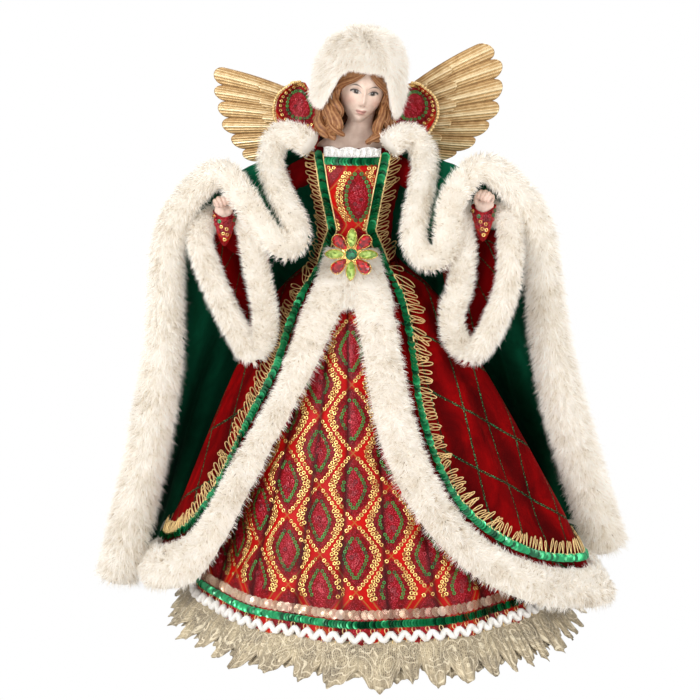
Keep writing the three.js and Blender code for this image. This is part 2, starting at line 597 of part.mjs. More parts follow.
// Wings: cast feathers fanning from the root to scalloped tips, thin at the tips and ridged along each one
const wing = { root: 3.4, tip: 1.3, ridge: 1.1, notch: 0.1, feathers: 7, perFeather: 5, rows: 4, sweep: 8,
  seat: 25.6 };
const wingRootShares = { right: [[0.052, 0, 0.868], [0.05, 0, 0.795]],
  left: [[-0.052, 0, 0.858], [-0.05, 0, 0.79]] };
const wingTipShares = {
  right: [[0.205, 0, 0.966], [0.232, 0, 0.935], [0.236, 0, 0.895], [0.23, 0, 0.85], [0.208, 0, 0.815],
    [0.178, 0, 0.785], [0.12, 0, 0.76]],
  left: [[-0.238, 0, 0.922], [-0.24, 0, 0.886], [-0.234, 0, 0.854], [-0.226, 0, 0.82], [-0.206, 0, 0.788],
    [-0.182, 0, 0.762], [-0.13, 0, 0.745]],
};
function wingPoint(side, outside) {
  const root = fromShares(wingRootShares[side]);
  const tips = new THREE.CatmullRomCurve3(fromShares(wingTipShares[side]), false, 'centripetal');
  return (u, v) => {
    const feather = (u * wing.feathers) % 1;
    const arch = Math.sqrt(Math.max(0, 1 - (2 * feather - 1) ** 2));
    const from = root[0].clone().lerp(root[1], u);
    const reach = v * (1 - wing.notch * (1 - arch) * v ** 3);
    const at = from.lerp(tips.getPoint(u), reach);
    const droop = Math.sin(Math.PI * v) * wing.sweep * (u - 0.6) * -0.5;
    const half = mix(wing.root, wing.tip, v) / 2 + (outside ? wing.ridge * arch * v : 0);
    const back = wing.seat + wing.root / 2 + wing.sweep * v * v * 0.6;
    return vec(at.x, back + (outside ? -half : half), at.z + droop);
  };
}
for (const side of ['left', 'right']) {
  place(`wing_${side}`, shell(
    wingPoint(side, true), wingPoint(side, false), wing.feathers * wing.perFeather, wing.rows,
  ), 'gold');
}
const wingPlate = { width: 62, height: 24, thickness: 2.4, drop: 3.65 };
const [rootTop, rootFoot] = fromShares(wingRootShares.left);
const wingPlateMiddle = mix(rootTop.z, rootFoot.z, 0.5) - wingPlate.drop;
place('wing_plate', solidGeometry(new THREE.BoxGeometry(wingPlate.width, wingPlate.thickness,
  wingPlate.height)
  .translate(0, wing.seat - seam - wingPlate.thickness / 2, wingPlateMiddle)), 'steel');
const screw = { radius: 2.6, height: 1.8, inset: 6, sides: 14 };
for (const [s, name] of [[-1, 'left'], [1, 'right']]) {
  const pin = new THREE.CylinderGeometry(screw.radius, screw.radius, screw.height, screw.sides);
  const seat = wing.seat + wing.root + seam + screw.height / 2;
  place(`wing_screw_${name}`, solidGeometry(
    pin.translate(s * (wingPlate.width / 2 - screw.inset), seat, wingPlateMiddle)), 'steel');
}

// Stand-up lapels of the collar, with a string of beads along the outer edge
const lapel = { wall: 1.6, bulge: 5, columns: 5, rows: 6, beadRadius: 1.1, beadGap: 0.5 };
const lapelOuterShares = [[-0.09, -0.036, 0.806], [-0.116, 0.004, 0.822], [-0.13, 0.02, 0.85],
  [-0.124, 0.022, 0.878], [-0.1, 0.02, 0.899]];
const lapelInnerShares = [[-0.08, -0.043, 0.81], [-0.078, -0.02, 0.826], [-0.079, 0, 0.842],
  [-0.09, 0.014, 0.862], [-0.095, 0.022, 0.894]];
const lapelSeat = { left: 1.1, right: -0.25 };
const sideOf = { left: (points) => points, right: (points) => mirrored(points) };
for (const side of ['left', 'right']) {
  const outerEdge = new THREE.CatmullRomCurve3(sideOf[side](fromShares(lapelOuterShares)));
  const innerEdge = new THREE.CatmullRomCurve3(sideOf[side](fromShares(lapelInnerShares)));
  const face = (extra) => (u, v) => {
    const at = innerEdge.getPoint(v).lerp(outerEdge.getPoint(v), u);
    return at.add(vec(0, lapel.bulge * Math.sin(Math.PI * u) - lapelSeat[side] * (1 - v) + extra, 0));
  };
  place(`collar_${side}`, shell(face(0), face(lapel.wall), lapel.columns, lapel.rows), 'brocade');
  const away = side === 'left' ? -1 : 1;
  const beads = Array.from({ length: lapel.rows + 1 }, (_, i) => (
    outerEdge.getPoint(mix(0.06, 1, i / lapel.rows)).add(vec(away * (lapel.beadRadius + lapel.beadGap),
      -lapel.beadGap, 0))));
  place(`collar_beads_${side}`, tube(beads, 12, 6, lapel.beadRadius), 'gold_braid');
}

// Brooch: a petalled plate on a short post, with nine set stones
const brooch = { x: 1, y: -32.5, rise: 13.65, tilt: 24, plate: 1.2, petal: 13.4, waist: 7.5, post: 3,
  postLength: 9.8, stone: 2.6 };
const broochPose = new THREE.Matrix4().makeTranslation(brooch.x, brooch.y, bodice.low + brooch.rise)
  .multiply(new THREE.Matrix4().makeRotationX(radians(90 - brooch.tilt)));
const petalSteps = 32;
const petalOutline = Array.from({ length: petalSteps }, (_, i) => {
  const turn = (i / petalSteps) * 2 * Math.PI;
  const radius = mix(brooch.waist, brooch.petal, Math.abs(Math.cos(turn * 4)) ** 1.5);
  return new THREE.Vector2(radius * Math.cos(turn), radius * Math.sin(turn));
});
const broochPlate = solidGeometry(new THREE.ExtrudeGeometry(
  new THREE.Shape(petalOutline), { depth: brooch.plate, bevelEnabled: false }));
const broochPost = solidGeometry(new THREE.CylinderGeometry(brooch.post, brooch.post, brooch.postLength, 14)
  .rotateX(Math.PI / 2).translate(0, 0, brooch.plate / 2 - brooch.postLength / 2));
place('brooch_setting', joined(broochPlate, broochPost).applyMatrix4(broochPose), 'gold');
// A stone is three outlines: seat, girdle and table; the outline's half width follows its own length.
function stoneGeometry(length, width, outline) {
  const ring = (scale, high) => outline.map(([x, y]) => vec(x * width / 2 * scale, y * length / 2 * scale,
    high));
  const seat = brooch.plate + seam;
  return loft([ring(0.86, seat), ring(1, seat + brooch.stone * 0.35), ring(0.58, seat + brooch.stone)]);
}
const outlineSteps = 10;
const outlineOf = (halfWidth) => Array.from({ length: outlineSteps }, (_, i) => {
  const turn = (i / outlineSteps) * 2 * Math.PI;
  return [Math.sin(turn) * halfWidth(Math.cos(turn)), Math.cos(turn)];
});
const roundOutline = outlineOf(() => 1);
const navetteOutline = outlineOf((y) => Math.sqrt(Math.max(0, 1 - y * y)) ** 0.35);
const pearOutline = outlineOf((y) => 0.62 + 0.38 * y);
const stones = { round: 6.6, navette: [10.4, 5.4, 9.2], pear: [9.4, 7.4, 9.3] };
place('brooch_center_stone', stoneGeometry(stones.round, stones.round,
  roundOutline).applyMatrix4(broochPose), 'emerald_stone');
for (let i = 0; i < 8; i += 1) {
  const [length, width, reach] = i % 2 === 0 ? stones.navette : stones.pear;
  const outline = i % 2 === 0 ? navetteOutline : pearOutline;
  const number = Math.floor(i / 2) + 1;
  const stone = stoneGeometry(length, width, outline).translate(0, reach, 0).rotateZ((i / 8) * 2 * Math.PI);
  place(i % 2 === 0 ? `brooch_navette_${number}` : `brooch_pear_${number}`, stone.applyMatrix4(broochPose),
    i % 2 === 0 ? 'lime_stone' : 'red_stone');
}

// Cape: a back panel from the hands over the shoulders to the floor. Its top line runs from hand to hand.
const cape = { thickness: 1.2, folds: 9, foldDepth: 7, bulge: 23, bulgeAt: 0.13, columns: 44, rows: 6,
  fray: 3 };
const capeTopLeftShares = [[-0.204, -0.103, 0.768], [-0.175, -0.055, 0.765], [-0.14, -0.012, 0.78],
  [-0.098, 0.028, 0.792], [-0.05, 0.0515, 0.786]];
const capeTopRightShares = [[0.05, 0.0515, 0.786], [0.092, 0.028, 0.792], [0.13, -0.012, 0.785],
  [0.17, -0.055, 0.775], [0.21, -0.103, 0.782]];
const capeHemShares = [[-1.249, -0.1156, 0.156], [-1.1555, 0.4685, 0.1437], [-0.7495, 0.9682, 0.1374],
  [0.1093, 1.2242, 0.1312], [0.8432, 1.015, 0.1437], [1.2648, 0.6246, 0.1874], [1.3273, 0.1874, 0.3123]];
const capeTop = new THREE.CatmullRomCurve3(fromShares([...capeTopLeftShares, [0, 0.0538, 0.784],
  ...capeTopRightShares]));
const capeHem = new THREE.CatmullRomCurve3(
  capeHemShares.map((share) => vec(...share).multiplyScalar(hemRadius)));
const capeBulge = (v) => cape.bulge * (v / cape.bulgeAt) * Math.exp(1 - v / cape.bulgeAt);
function capeAt(u, v, extra = 0) {
  const top = capeTop.getPointAt(u);
  const hem = capeHem.getPointAt(u);
  const at = top.clone().lerp(hem, v);
  const out = vec(hem.x - hemLean * 0.5, hem.y, 0).normalize();
  const side = Math.max(1 - smooth(u / 0.2), 1 - smooth((1 - u) / 0.2));
  const fold = cape.foldDepth * v * (1 - 0.7 * side) * pleat(u * 2 * Math.PI, cape.folds, 1.2);
  return at.addScaledVector(out, capeBulge(v) * side + fold + extra);
}
// The fur's half width along the cape's edge, from the hand to the hem
const capeFur = { loop: 6.3, upper: 9, lower: 14, sides: 6, steps: 36 };
const edgeFurRadius = (v) => mix(capeFur.upper, capeFur.lower, smooth(v * 1.4)) * smooth(v / 0.06 + 0.72);
const capeRowLength = (v) => {
  let sum = 0;
  for (let i = 0; i < 16; i += 1) sum += capeAt(i / 16, v).distanceTo(capeAt((i + 1) / 16, v));
  return sum;
};
const capeFace = (extra) => {
  const rowLengths = Array.from({ length: cape.rows + 1 }, (_, j) => capeRowLength(j / cape.rows));
  return (u, v) => {
    const inset = (edgeFurRadius(v) + cape.fray) / rowLengths[Math.round(v * cape.rows)];
    return capeAt(mix(inset, 1 - inset, u), v * 0.985, extra);
  };
};
place('cape', shell(capeFace(cape.thickness), capeFace(0), cape.columns, cape.rows), 'green_velvet');

// Fur along the cape's front edges: from the neck over the chest loop and the hand, then down to the hem
const capeLoopShares = {
  left: [[-0.066, -0.066, 0.81], [-0.09, -0.052, 0.824], [-0.12, -0.036, 0.82], [-0.13, -0.058, 0.783],
    [-0.112, -0.092, 0.739],
    [-0.088, -0.112, 0.7], [-0.08, -0.122, 0.672], [-0.096, -0.13, 0.655], [-0.118, -0.132, 0.67],
    [-0.146, -0.13, 0.705], [-0.175, -0.12, 0.747], [-0.204, -0.108, 0.772]],
  right: [[0.06, -0.066, 0.81], [0.078, -0.052, 0.824], [0.1, -0.036, 0.82], [0.117, -0.056, 0.79],
    [0.113, -0.09, 0.742],
    [0.105, -0.112, 0.7], [0.107, -0.126, 0.66], [0.128, -0.134, 0.642], [0.152, -0.134, 0.652],
    [0.158, -0.13, 0.69], [0.162, -0.124, 0.726], [0.18, -0.118, 0.762], [0.21, -0.108, 0.786]],
};
const edgeStops = [0.07, 0.15, 0.26, 0.4, 0.55, 0.7, 0.85, 0.97];
for (const [side, u] of [['left', 0], ['right', 1]]) {
  const loop = fromShares(capeLoopShares[side]);
  const route = [...loop, ...edgeStops.map((v) => capeAt(u, v))];
  const curve = new THREE.CatmullRomCurve3(route, false, 'centripetal');
  const whole = curve.getLength();
  const loopLength = new THREE.CatmullRomCurve3(loop, false, 'centripetal').getLength();
  const size = (t) => {
    const v = (t * whole - loopLength) / (whole - loopLength);
    const radius = v < 0 ? mix(capeFur.loop, capeFur.upper * 0.8, smooth(1 + v * 4)) : edgeFurRadius(v);
    return [Math.max(capeFur.loop, radius), Math.max(capeFur.loop, radius)];
  };
  place(`cape_fur_${side}`, loft(tubeRings(route, capeFur.steps, capeFur.sides, size)), 'fur');
}

// The cape's fur along its back hem, between the two front edges
const hemFur = { half: 9, thickness: 7, columns: 40, gap: 5, dropShare: 0.975 };
const hemFurFace = (outside) => {
  const inset = (edgeFurRadius(1) + hemFur.gap) / capeRowLength(1) * 1.3;
  const tall = hemFur.half * 2 / (capeTop.getPoint(0.5).z - capeHem.getPoint(0.5).z);
  return (u, v) => {
    const round = Math.max(0.3, Math.sin(Math.PI * v));
    const rise = cape.thickness + trimLift * 0.8 + (outside ? hemFur.thickness * round : 0);
    return capeAt(mix(inset, 1 - inset, u), hemFur.dropShare - tall * (1 - v), rise);
  };
};
place('cape_fur_hem', shell(hemFurFace(true), hemFurFace(false), hemFur.columns, 2), 'fur');

// Drapes: the cape's front panels, from the arm down behind the two runs of fur to the chest loop's turn
const drape = { thickness: 0.9, columns: 5, rows: 5, behind: 8.4, inset: 0.12 };
const drapeRunShares = {
  left: { down: [[-0.128, -0.05, 0.79], [-0.11, -0.09, 0.739], [-0.09, -0.113, 0.69]],
    up: [[-0.2, -0.106, 0.757], [-0.15, -0.12, 0.71], [-0.108, -0.124, 0.685]] },
  right: { down: [[0.117, -0.05, 0.795], [0.113, -0.088, 0.742], [0.112, -0.116, 0.68]],
    up: [[0.205, -0.106, 0.767], [0.16, -0.124, 0.715], [0.14, -0.124, 0.672]] },
};
for (const side of ['left', 'right']) {
  const [down, up] = ['down', 'up'].map(
    (run) => new THREE.CatmullRomCurve3(fromShares(drapeRunShares[side][run])));
  const face = (extra) => (u, v) => down.getPoint(v * 0.94).lerp(up.getPoint(v * 0.94),
    mix(drape.inset, 1 - drape.inset, u))
    .add(vec(0, drape.behind + extra, 0));
  place(`cape_drape_${side}`, shell(face(0), face(drape.thickness), drape.columns, drape.rows),
    'green_velvet');
}

// Bell sleeves: a fur ring round each hanging mouth and a cloth funnel back to the arm
const mouthShares = {
  left: [[-0.2, -0.05, 0.692], [-0.234, -0.088, 0.686], [-0.238, -0.112, 0.66], [-0.222, -0.118, 0.613],
    [-0.202, -0.123, 0.566],
    [-0.177, -0.123, 0.517], [-0.155, -0.121, 0.482], [-0.136, -0.123, 0.507], [-0.132, -0.126, 0.546],
      [-0.14, -0.126, 0.594],
    [-0.15, -0.12, 0.64], [-0.162, -0.09, 0.68]],
  right: [[0.212, -0.05, 0.702], [0.25, -0.088, 0.698], [0.256, -0.113, 0.66], [0.254, -0.118, 0.606],
    [0.24, -0.123, 0.559],
    [0.222, -0.123, 0.517], [0.198, -0.121, 0.49], [0.172, -0.123, 0.512], [0.165, -0.126, 0.552],
      [0.178, -0.126, 0.6],
    [0.182, -0.12, 0.65], [0.178, -0.09, 0.69]],
};
const sleeve = { fur: 4.2, steps: 26, sides: 6, wall: 0.8, open: 0.15, columns: 20, rows: 2, behind: 6.4,
  throatWide: 10, throatTall: 17 };
const throatShares = { left: [-0.158, -0.045, 0.65], right: [0.163, -0.045, 0.65] };
for (const side of ['left', 'right']) {
  const mouth = new THREE.CatmullRomCurve3(fromShares(mouthShares[side]), true, 'centripetal');
  place(`sleeve_fur_${side}`, loft(tubeRings(
    fromShares(mouthShares[side]), sleeve.steps, sleeve.sides, () => [sleeve.fur, sleeve.fur], true,
  ), true), 'fur');
  const [throat] = fromShares([throatShares[side]]);
  const s = side === 'left' ? -1 : 1;
  const surface = (u, v) => {
    const share = mix(sleeve.open, 1 - sleeve.open, u);
    const turn = share * 2 * Math.PI;
    const middle = throat.clone().add(vec(
      s * sleeve.throatWide * Math.sin(turn), 0, sleeve.throatTall * Math.cos(turn)));
    return mouth.getPointAt(share).add(vec(0, sleeve.behind, 0)).lerp(middle, v);
  };
  const face = (extra) => (u, v) => {
    const step = 1 / (sleeve.columns * 4);
    const across = surface(Math.min(1, u + step), v).sub(surface(Math.max(0, u - step), v));
    const back = surface(u, v + step).sub(surface(u, v - step));
    return surface(u, v).addScaledVector(across.cross(back).normalize(), -s * extra);
  };
  place(`sleeve_${side}`, shell(face(0), face(-sleeve.wall), sleeve.columns, sleeve.rows), 'burgundy');
}

// The origin is the middle of the underside of the whole figure.
const bounds = new THREE.Box3().setFromObject(topper, true);
topper.position.set(-(bounds.min.x + bounds.max.x) / 2, -(bounds.min.y + bounds.max.y) / 2, -bounds.min.z);

export default topper;
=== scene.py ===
# The looks of an angel tree topper: fur, velvet, sequins, lace, cast wings and a painted face.
# Lengths are millimetres from the doll's own axis until metres() moves them into the frame.
import math
import bpy
import numpy as np
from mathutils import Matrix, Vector, kdtree


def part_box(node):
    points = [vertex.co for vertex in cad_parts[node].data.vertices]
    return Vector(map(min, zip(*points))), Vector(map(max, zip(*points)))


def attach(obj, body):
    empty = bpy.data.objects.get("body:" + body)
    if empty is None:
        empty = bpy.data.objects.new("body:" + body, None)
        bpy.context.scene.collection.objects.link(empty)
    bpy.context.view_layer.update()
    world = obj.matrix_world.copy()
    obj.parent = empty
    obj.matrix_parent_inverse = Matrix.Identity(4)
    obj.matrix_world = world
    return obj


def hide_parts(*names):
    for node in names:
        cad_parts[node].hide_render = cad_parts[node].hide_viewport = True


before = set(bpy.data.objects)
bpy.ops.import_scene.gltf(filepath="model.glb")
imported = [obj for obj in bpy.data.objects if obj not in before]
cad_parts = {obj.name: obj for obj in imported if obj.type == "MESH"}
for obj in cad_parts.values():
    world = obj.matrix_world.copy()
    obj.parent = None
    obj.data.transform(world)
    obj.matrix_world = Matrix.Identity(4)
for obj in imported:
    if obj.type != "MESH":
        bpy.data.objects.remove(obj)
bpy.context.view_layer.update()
rng = np.random.default_rng(24)

height = 406.0  # of the doll, from the lace to the top of the hat

# The rim ring's middle gives the doll's axis: it stands 15 mm beside it.
hemLean = 15.0
rimLow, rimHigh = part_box("cone_rim_ring")
axisShift = np.array([(rimLow.x + rimHigh.x) * 500 - hemLean, (rimLow.y + rimHigh.y) * 500, 0.0])


# A point moved by the axis shift, in metres
def metres(points):
    return (np.asarray(points, float) + axisShift) / 1000


# Each vector divided by its own length
def unit(vectors):
    return vectors / np.maximum(np.linalg.norm(vectors, axis=-1, keepdims=True), 1e-9)


# 3 t squared less 2 t cubed between 0 and 1: eased, level at both ends
def smooth(value):
    value = np.clip(value, 0, 1)
    return value * value * (3 - 2 * value)


# a plus t times the way from a to b
def mix(a, b, t):
    return a + (b - a) * t


# Places given as shares of the doll's height
def fromShares(rows, mirror=1):
    return np.asarray(rows, float) * height * [mirror, 1, 1]


# An sRGB hex colour as linear red, green, blue, alpha
def linear(text):
    parts = [int(text[i:i + 2], 16) / 255 for i in (1, 3, 5)]
    return [p / 12.92 if p <= 0.04045 else ((p + 0.055) / 1.055) ** 2.4 for p in parts] + [1.0]


# Materials. feed() gives a node's sockets their values in order or by name, and links the ones that are sockets.
def feed(node, *values, **named):
    for key, value in [*enumerate(values), *((key.replace("_", " "), value) for key, value in named.items())]:
        if isinstance(value, bpy.types.NodeSocket):
            node.id_data.links.new(value, node.inputs[key])
        else:
            node.inputs[key].default_value = value
    return node


# Adds a node with its settings, stops and links, and returns the output that take names.
def addNode(tree, kind, *values, take=0, stops=(), settings=None, **named):
    kind, _, operation = kind.partition(" ")
    node = tree.nodes.new("ShaderNode" + kind)
    for key, value in {**(settings or {}), **({"operation": operation} if operation else {})}.items():
        setattr(node, key, value)
    if stops:
        elements = node.color_ramp.elements
        while len(elements) < len(stops):
            elements.new(0.5)
        for element, (place, colour) in zip(elements, stops):
            element.position = place
            element.color = linear(colour) if isinstance(colour, str) else [colour] * 3 + [1]
    return feed(node, *values, **named).outputs[take]


# A new node material: the material, its tree, its shader with these constants, and the object coordinates
def newMaterial(name, **constants):
    material = bpy.data.materials.new(name)
    material.use_nodes = True
    tree = material.node_tree
    return material, tree, feed(tree.nodes["Principled BSDF"], **constants), addNode(tree, "TexCoord", take="Object")


# Meshes from arrays: faces is a list of index arrays, each of one corner count.
def addPiece(name, points, faces, material, slot, replaces=(), uv=None, values=None, flat=False):
    mesh = bpy.data.meshes.new(name)
    points = metres(points)
    mesh.vertices.add(len(points))
    mesh.vertices.foreach_set("co", points.astype(np.float32).ravel())
    corners = np.concatenate([np.asarray(f).ravel() for f in faces])
    counts = np.concatenate([np.full(len(f), np.asarray(f).shape[1]) for f in faces])
    mesh.loops.add(len(corners))
    mesh.loops.foreach_set("vertex_index", corners.astype(np.int32))
    mesh.polygons.add(len(counts))
    mesh.polygons.foreach_set("loop_start", np.concatenate([[0], np.cumsum(counts)[:-1]]).astype(np.int32))
    mesh.polygons.foreach_set("loop_total", counts.astype(np.int32))
    mesh.polygons.foreach_set("use_smooth", np.full(len(counts), not flat))
    if uv is not None:
        layer = mesh.uv_layers.new(name="UVMap")
        layer.data.foreach_set("uv", np.asarray(uv, np.float32)[corners].ravel())
    for key, value in (values or {}).items():
        value = np.asarray(value, np.float32)
        if value.ndim == 1:
            mesh.attributes.new(key, "FLOAT", "POINT").data.foreach_set("value", value)
        else:
            colours = np.concatenate([value, np.ones((len(value), 1), np.float32)], 1)
            mesh.attributes.new(key, "FLOAT_COLOR", "POINT").data.foreach_set("color", colours.ravel())
    mesh.update(calc_edges=True)
    mesh.validate()
    mesh.materials.append(material)
    piece = bpy.data.objects.new(name, mesh)
    bpy.context.scene.collection.objects.link(piece)
    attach(piece, "root")
    if replaces:
        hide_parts(*replaces)
    return piece


# Quads of a grid whose points run row by row
def gridFaces(rows, columns, wrap=False):
    across = columns if wrap else columns - 1
    j, i = np.meshgrid(np.arange(rows - 1), np.arange(across), indexing="ij")
    k = (i + 1) % columns
    row, after = j * columns, (j + 1) * columns
    return np.stack([row + i, row + k, after + k, after + i], -1).reshape(-1, 4)


# The same with a cap over the first and the last row of a closed surface
def cappedFaces(rows, columns):
    ring = np.arange(columns)[None]
    return [gridFaces(rows, columns, True), ring[:, ::-1], ring + (rows - 1) * columns]


# A front grid and the back grid behind it, joined by a band round their border
def shellFaces(rows, columns):
    count, grid = rows * columns, gridFaces(rows, columns)
    border = np.concatenate([np.arange(columns), columns * np.arange(1, rows) + columns - 1,
                             (rows - 1) * columns + np.arange(columns - 2, -1, -1),
                             columns * np.arange(rows - 2, 0, -1)])
    band = np.stack([border, np.roll(border, -1), np.roll(border, -1) + count, border + count], 1)
    return [grid, grid[:, ::-1] + count, band[:, ::-1]]


# Points of surface(u, v) over the unit square
def sheetPoints(surface, rows, columns, wrap=False):
    u = np.linspace(0, 1, columns, endpoint=not wrap)
    v = np.linspace(0, 1, rows)
    vv, uu = np.meshgrid(v, u, indexing="ij")
    return surface(uu.ravel(), vv.ravel()), uu.ravel(), vv.ravel()


# A sheet of two faces joined along its borders; the second lies thickness behind the first
def closedSheet(surface, thickness, rows, columns, wrap=False):
    front, u, v = sheetPoints(surface, rows, columns, wrap)
    grid = front.reshape(rows, columns, 3)
    if wrap:
        across = np.roll(grid, -1, 1) - np.roll(grid, 1, 1)
    else:
        across = np.gradient(grid, axis=1)
    normal = unit(np.cross(across, np.gradient(grid, axis=0)))
    inward = np.sum(normal * (grid - grid * [0, 0, 1] - [0, 5, 0])) < 0
    normal = -normal if inward else normal
    count = rows * columns
    points = np.concatenate([front, (grid - normal * thickness).reshape(-1, 3)])
    face = gridFaces(rows, columns, wrap)
    faces = [face, face[:, ::-1] + count]
    row = np.arange(columns if wrap else columns - 1)
    nextUp = (row + 1) % columns
    top = np.stack([row, row + count, nextUp + count, nextUp], 1)
    bottom = np.stack([row, nextUp, nextUp + count, row + count], 1) + (rows - 1) * columns
    faces += [top, bottom]
    if not wrap:
        side = np.arange(rows - 1) * columns
        faces.append(np.stack([side, side + columns, side + columns + count, side + count], 1))
        side = side + columns - 1
        faces.append(np.stack([side, side + count, side + columns + count, side + columns], 1))
    faces = [f[:, ::-1] for f in faces] if inward else faces
    return points, faces, np.tile(np.stack([u, v], 1), (2, 1))


# Copies of one small shape: axes holds each copy's x, y and z direction as rows
def scatter(shape, shapeFaces, places, axes, scales=None):
    shape = np.asarray(shape, float)
    if scales is not None:
        local = shape[None] * np.asarray(scales)[:, None, None]
    else:
        local = np.repeat(shape[None], len(places), 0)
    points = places[:, None] + np.einsum("nki,nij->nkj", local, axes)
    shift = (np.arange(len(places)) * len(shape))[:, None, None]
    faces = [(np.asarray(f)[None] + shift).reshape(-1, np.asarray(f).shape[1]) for f in shapeFaces]
    return points.reshape(-1, 3), faces


# Axes whose z is the normal and whose y leans to up
def frameAt(normals, up=(0, 0, 1)):
    z = unit(normals)
    y = np.broadcast_to(np.asarray(up, float), z.shape)
    y = unit(y - z * np.sum(y * z, -1, keepdims=True))
    return np.stack([np.cross(y, z), y, z], 1)


# Curves through points, with knots spaced by the square root of the chord
def curveThrough(points, closed=False, steps=24):
    p = np.asarray(points, float)
    count = len(p)
    spans = count if closed else count - 1
    out = []
    for k in range(spans):
        p1, p2 = p[k % count], p[(k + 1) % count]
        p0 = p[(k - 1) % count] if closed or k > 0 else 2 * p1 - p2
        p3 = p[(k + 2) % count] if closed or k + 2 < count else 2 * p2 - p1
        d0, d1, d2 = [max(np.linalg.norm(b - a), 1e-6) ** 0.5 for a, b in ((p0, p1), (p1, p2), (p2, p3))]
        m1 = ((p1 - p0) / d0 - (p2 - p0) / (d0 + d1) + (p2 - p1) / d1) * d1
        m2 = ((p2 - p1) / d1 - (p3 - p1) / (d1 + d2) + (p3 - p2) / d2) * d1
        t = np.linspace(0, 1, steps, endpoint=False)[:, None]
        out.append((2 * t**3 - 3 * t**2 + 1) * p1 + (t**3 - 2 * t**2 + t) * m1
                   + (3 * t**2 - 2 * t**3) * p2 + (t**3 - t**2) * m2)
    out.append(p[:1] if closed else p[-1:])
    dense = np.concatenate(out)
    length = np.concatenate([[0], np.cumsum(np.linalg.norm(np.diff(dense, axis=0), axis=1))])
    return dense, length


# Points at shares of a curve's length
def along(curve, share):
    dense, length = curve
    at = np.asarray(share) * length[-1]
    return np.stack([np.interp(at, length, dense[:, k]) for k in range(dense.shape[1])], -1)


# The curve's direction at a share: from a little before it to a little after it
def heading(curve, share, step=0.004):
    share = np.asarray(share)
    return unit(along(curve, np.minimum(share + step, 1)) - along(curve, np.maximum(share - step, 0)))


# Directions ahead, to the side and across along a route, turned as little as possible from point to point
def tubeFrames(route, closed=False):
    ahead = np.roll(route, -1, 0) - np.roll(route, 1, 0)
    if not closed:
        ahead[0], ahead[-1] = route[1] - route[0], route[-1] - route[-2]
    ahead = unit(ahead)
    side = np.zeros_like(route)
    side[0] = unit(np.cross(ahead[0], [0, 0, 1] if abs(ahead[0][2]) < 0.9 else [1, 0, 0]))
    for k in range(1, len(route)):
        side[k] = unit(side[k - 1] - ahead[k] * np.dot(side[k - 1], ahead[k]))
    return ahead, side, np.cross(ahead, side)


# A tube along an array of points with a radius for each; the section may be flattened
def tubeMesh(route, radius, sides=8, closed=False, flatten=1.0):
    route = np.asarray(route, float)
    count = len(route)
    _, side, other = tubeFrames(route, closed)
    turn = np.linspace(0, 2 * math.pi, sides, endpoint=False)[None, :, None]
    rings = route[:, None] + np.broadcast_to(radius, count)[:, None, None] * (
        np.cos(turn) * side[:, None] + flatten * np.sin(turn) * other[:, None])
    if closed:
        j, i = np.meshgrid(np.arange(count), np.arange(sides), indexing="ij")
        k, n = (i + 1) % sides, (j + 1) % count
        faces = [np.stack([j * sides + i, j * sides + k, n * sides + k, n * sides + i], -1).reshape(-1, 4)]
    else:
        faces = cappedFaces(count, sides)
    return rings.reshape(-1, 3), faces


# One mesh of several (points, faces) pairs
def gather(parts):
    points, faces, start = [], [], 0
    for somePoints, someFaces in parts:
        points.append(somePoints)
        faces += [np.asarray(f) + start for f in someFaces]
        start += len(somePoints)
    return np.concatenate(points), faces


# Skirt surfaces: the radius round the doll's axis as a function of the turn and the height
skirt = {"waistHeight": 250.0, "waistRadius": 32.0, "hemRadius": 130.0, "leanHeight": 262.0, "foldDepth": 2.6,
         "openingDepth": 14, "sequinLow": 51, "sequinHigh": 243}


# The doll's axis leans: it stands hemLean aside at the hem and comes in evenly up to the lean height
def axisX(z):
    return hemLean * np.maximum(0, 1 - z / skirt["leanHeight"])


# The point at a radius from the axis: sine of the turn sideways, cosine of it forwards
def around(turn, radius, z):
    return np.stack([axisX(z) + radius * np.sin(turn), -radius * np.cos(turn), z], -1)


# How far below the waist a height lies, as a share of the skirt
def fall(z):
    return np.clip((skirt["waistHeight"] - z) / skirt["waistHeight"], 0, 1)


# The waist's radius plus an even slope down to the hem, drawn in by 6 mm just under the waist
def coneRadius(z):
    slope = (skirt["hemRadius"] - skirt["waistRadius"]) / skirt["waistHeight"]
    return skirt["waistRadius"] + slope * (skirt["waistHeight"] - z) - 6 * smooth((z - 212) / 38)


# A wave from 0 to 1, count times round
def pleat(turn, count, phase):
    return 0.5 + 0.5 * np.cos(count * turn + phase)


# The cone's radius plus eleven shallow waves that deepen as they fall
def underRadius(turn, z):
    return coneRadius(z) + 3 * fall(z) * pleat(turn, 11, 0.6)


coatEdgeTurns = [-13, -17, -23.5, -29, -37, -45.5, -50.5, -53.5, -58, -66, -80, -100, -130, -180,
                 -230, -260, -280, -296, -309, -320, -330, -337, -341.3, -342.3, -343, -344.5, -347]
coatEdgeShares = [0.996, 0.944, 0.872, 0.784, 0.668, 0.548, 0.424, 0.316, 0.232, 0.188, 0.172, 0.168,
                  0.168, 0.168, 0.168, 0.168, 0.16, 0.176, 0.224, 0.296, 0.392, 0.5, 0.616, 0.732, 0.84, 0.928, 0.996]
coatEdge = curveThrough([(math.radians(t) * skirt["hemRadius"], s * skirt["waistHeight"], 0)
                         for t, s in zip(coatEdgeTurns, coatEdgeShares)])
coatFlareShares = [[-360, 0], [-347, 0], [-322, 0.1], [-302, 0.55], [-285, 1], [-272, 0.72], [-258, 0.28],
                   [-225, 0.15], [-180, 0.2], [-130, 0.15], [-100, 0.4], [-84, 0.78], [-72, 0.74], [-55, 0.3],
                   [-40, 0.08], [0, 0]]


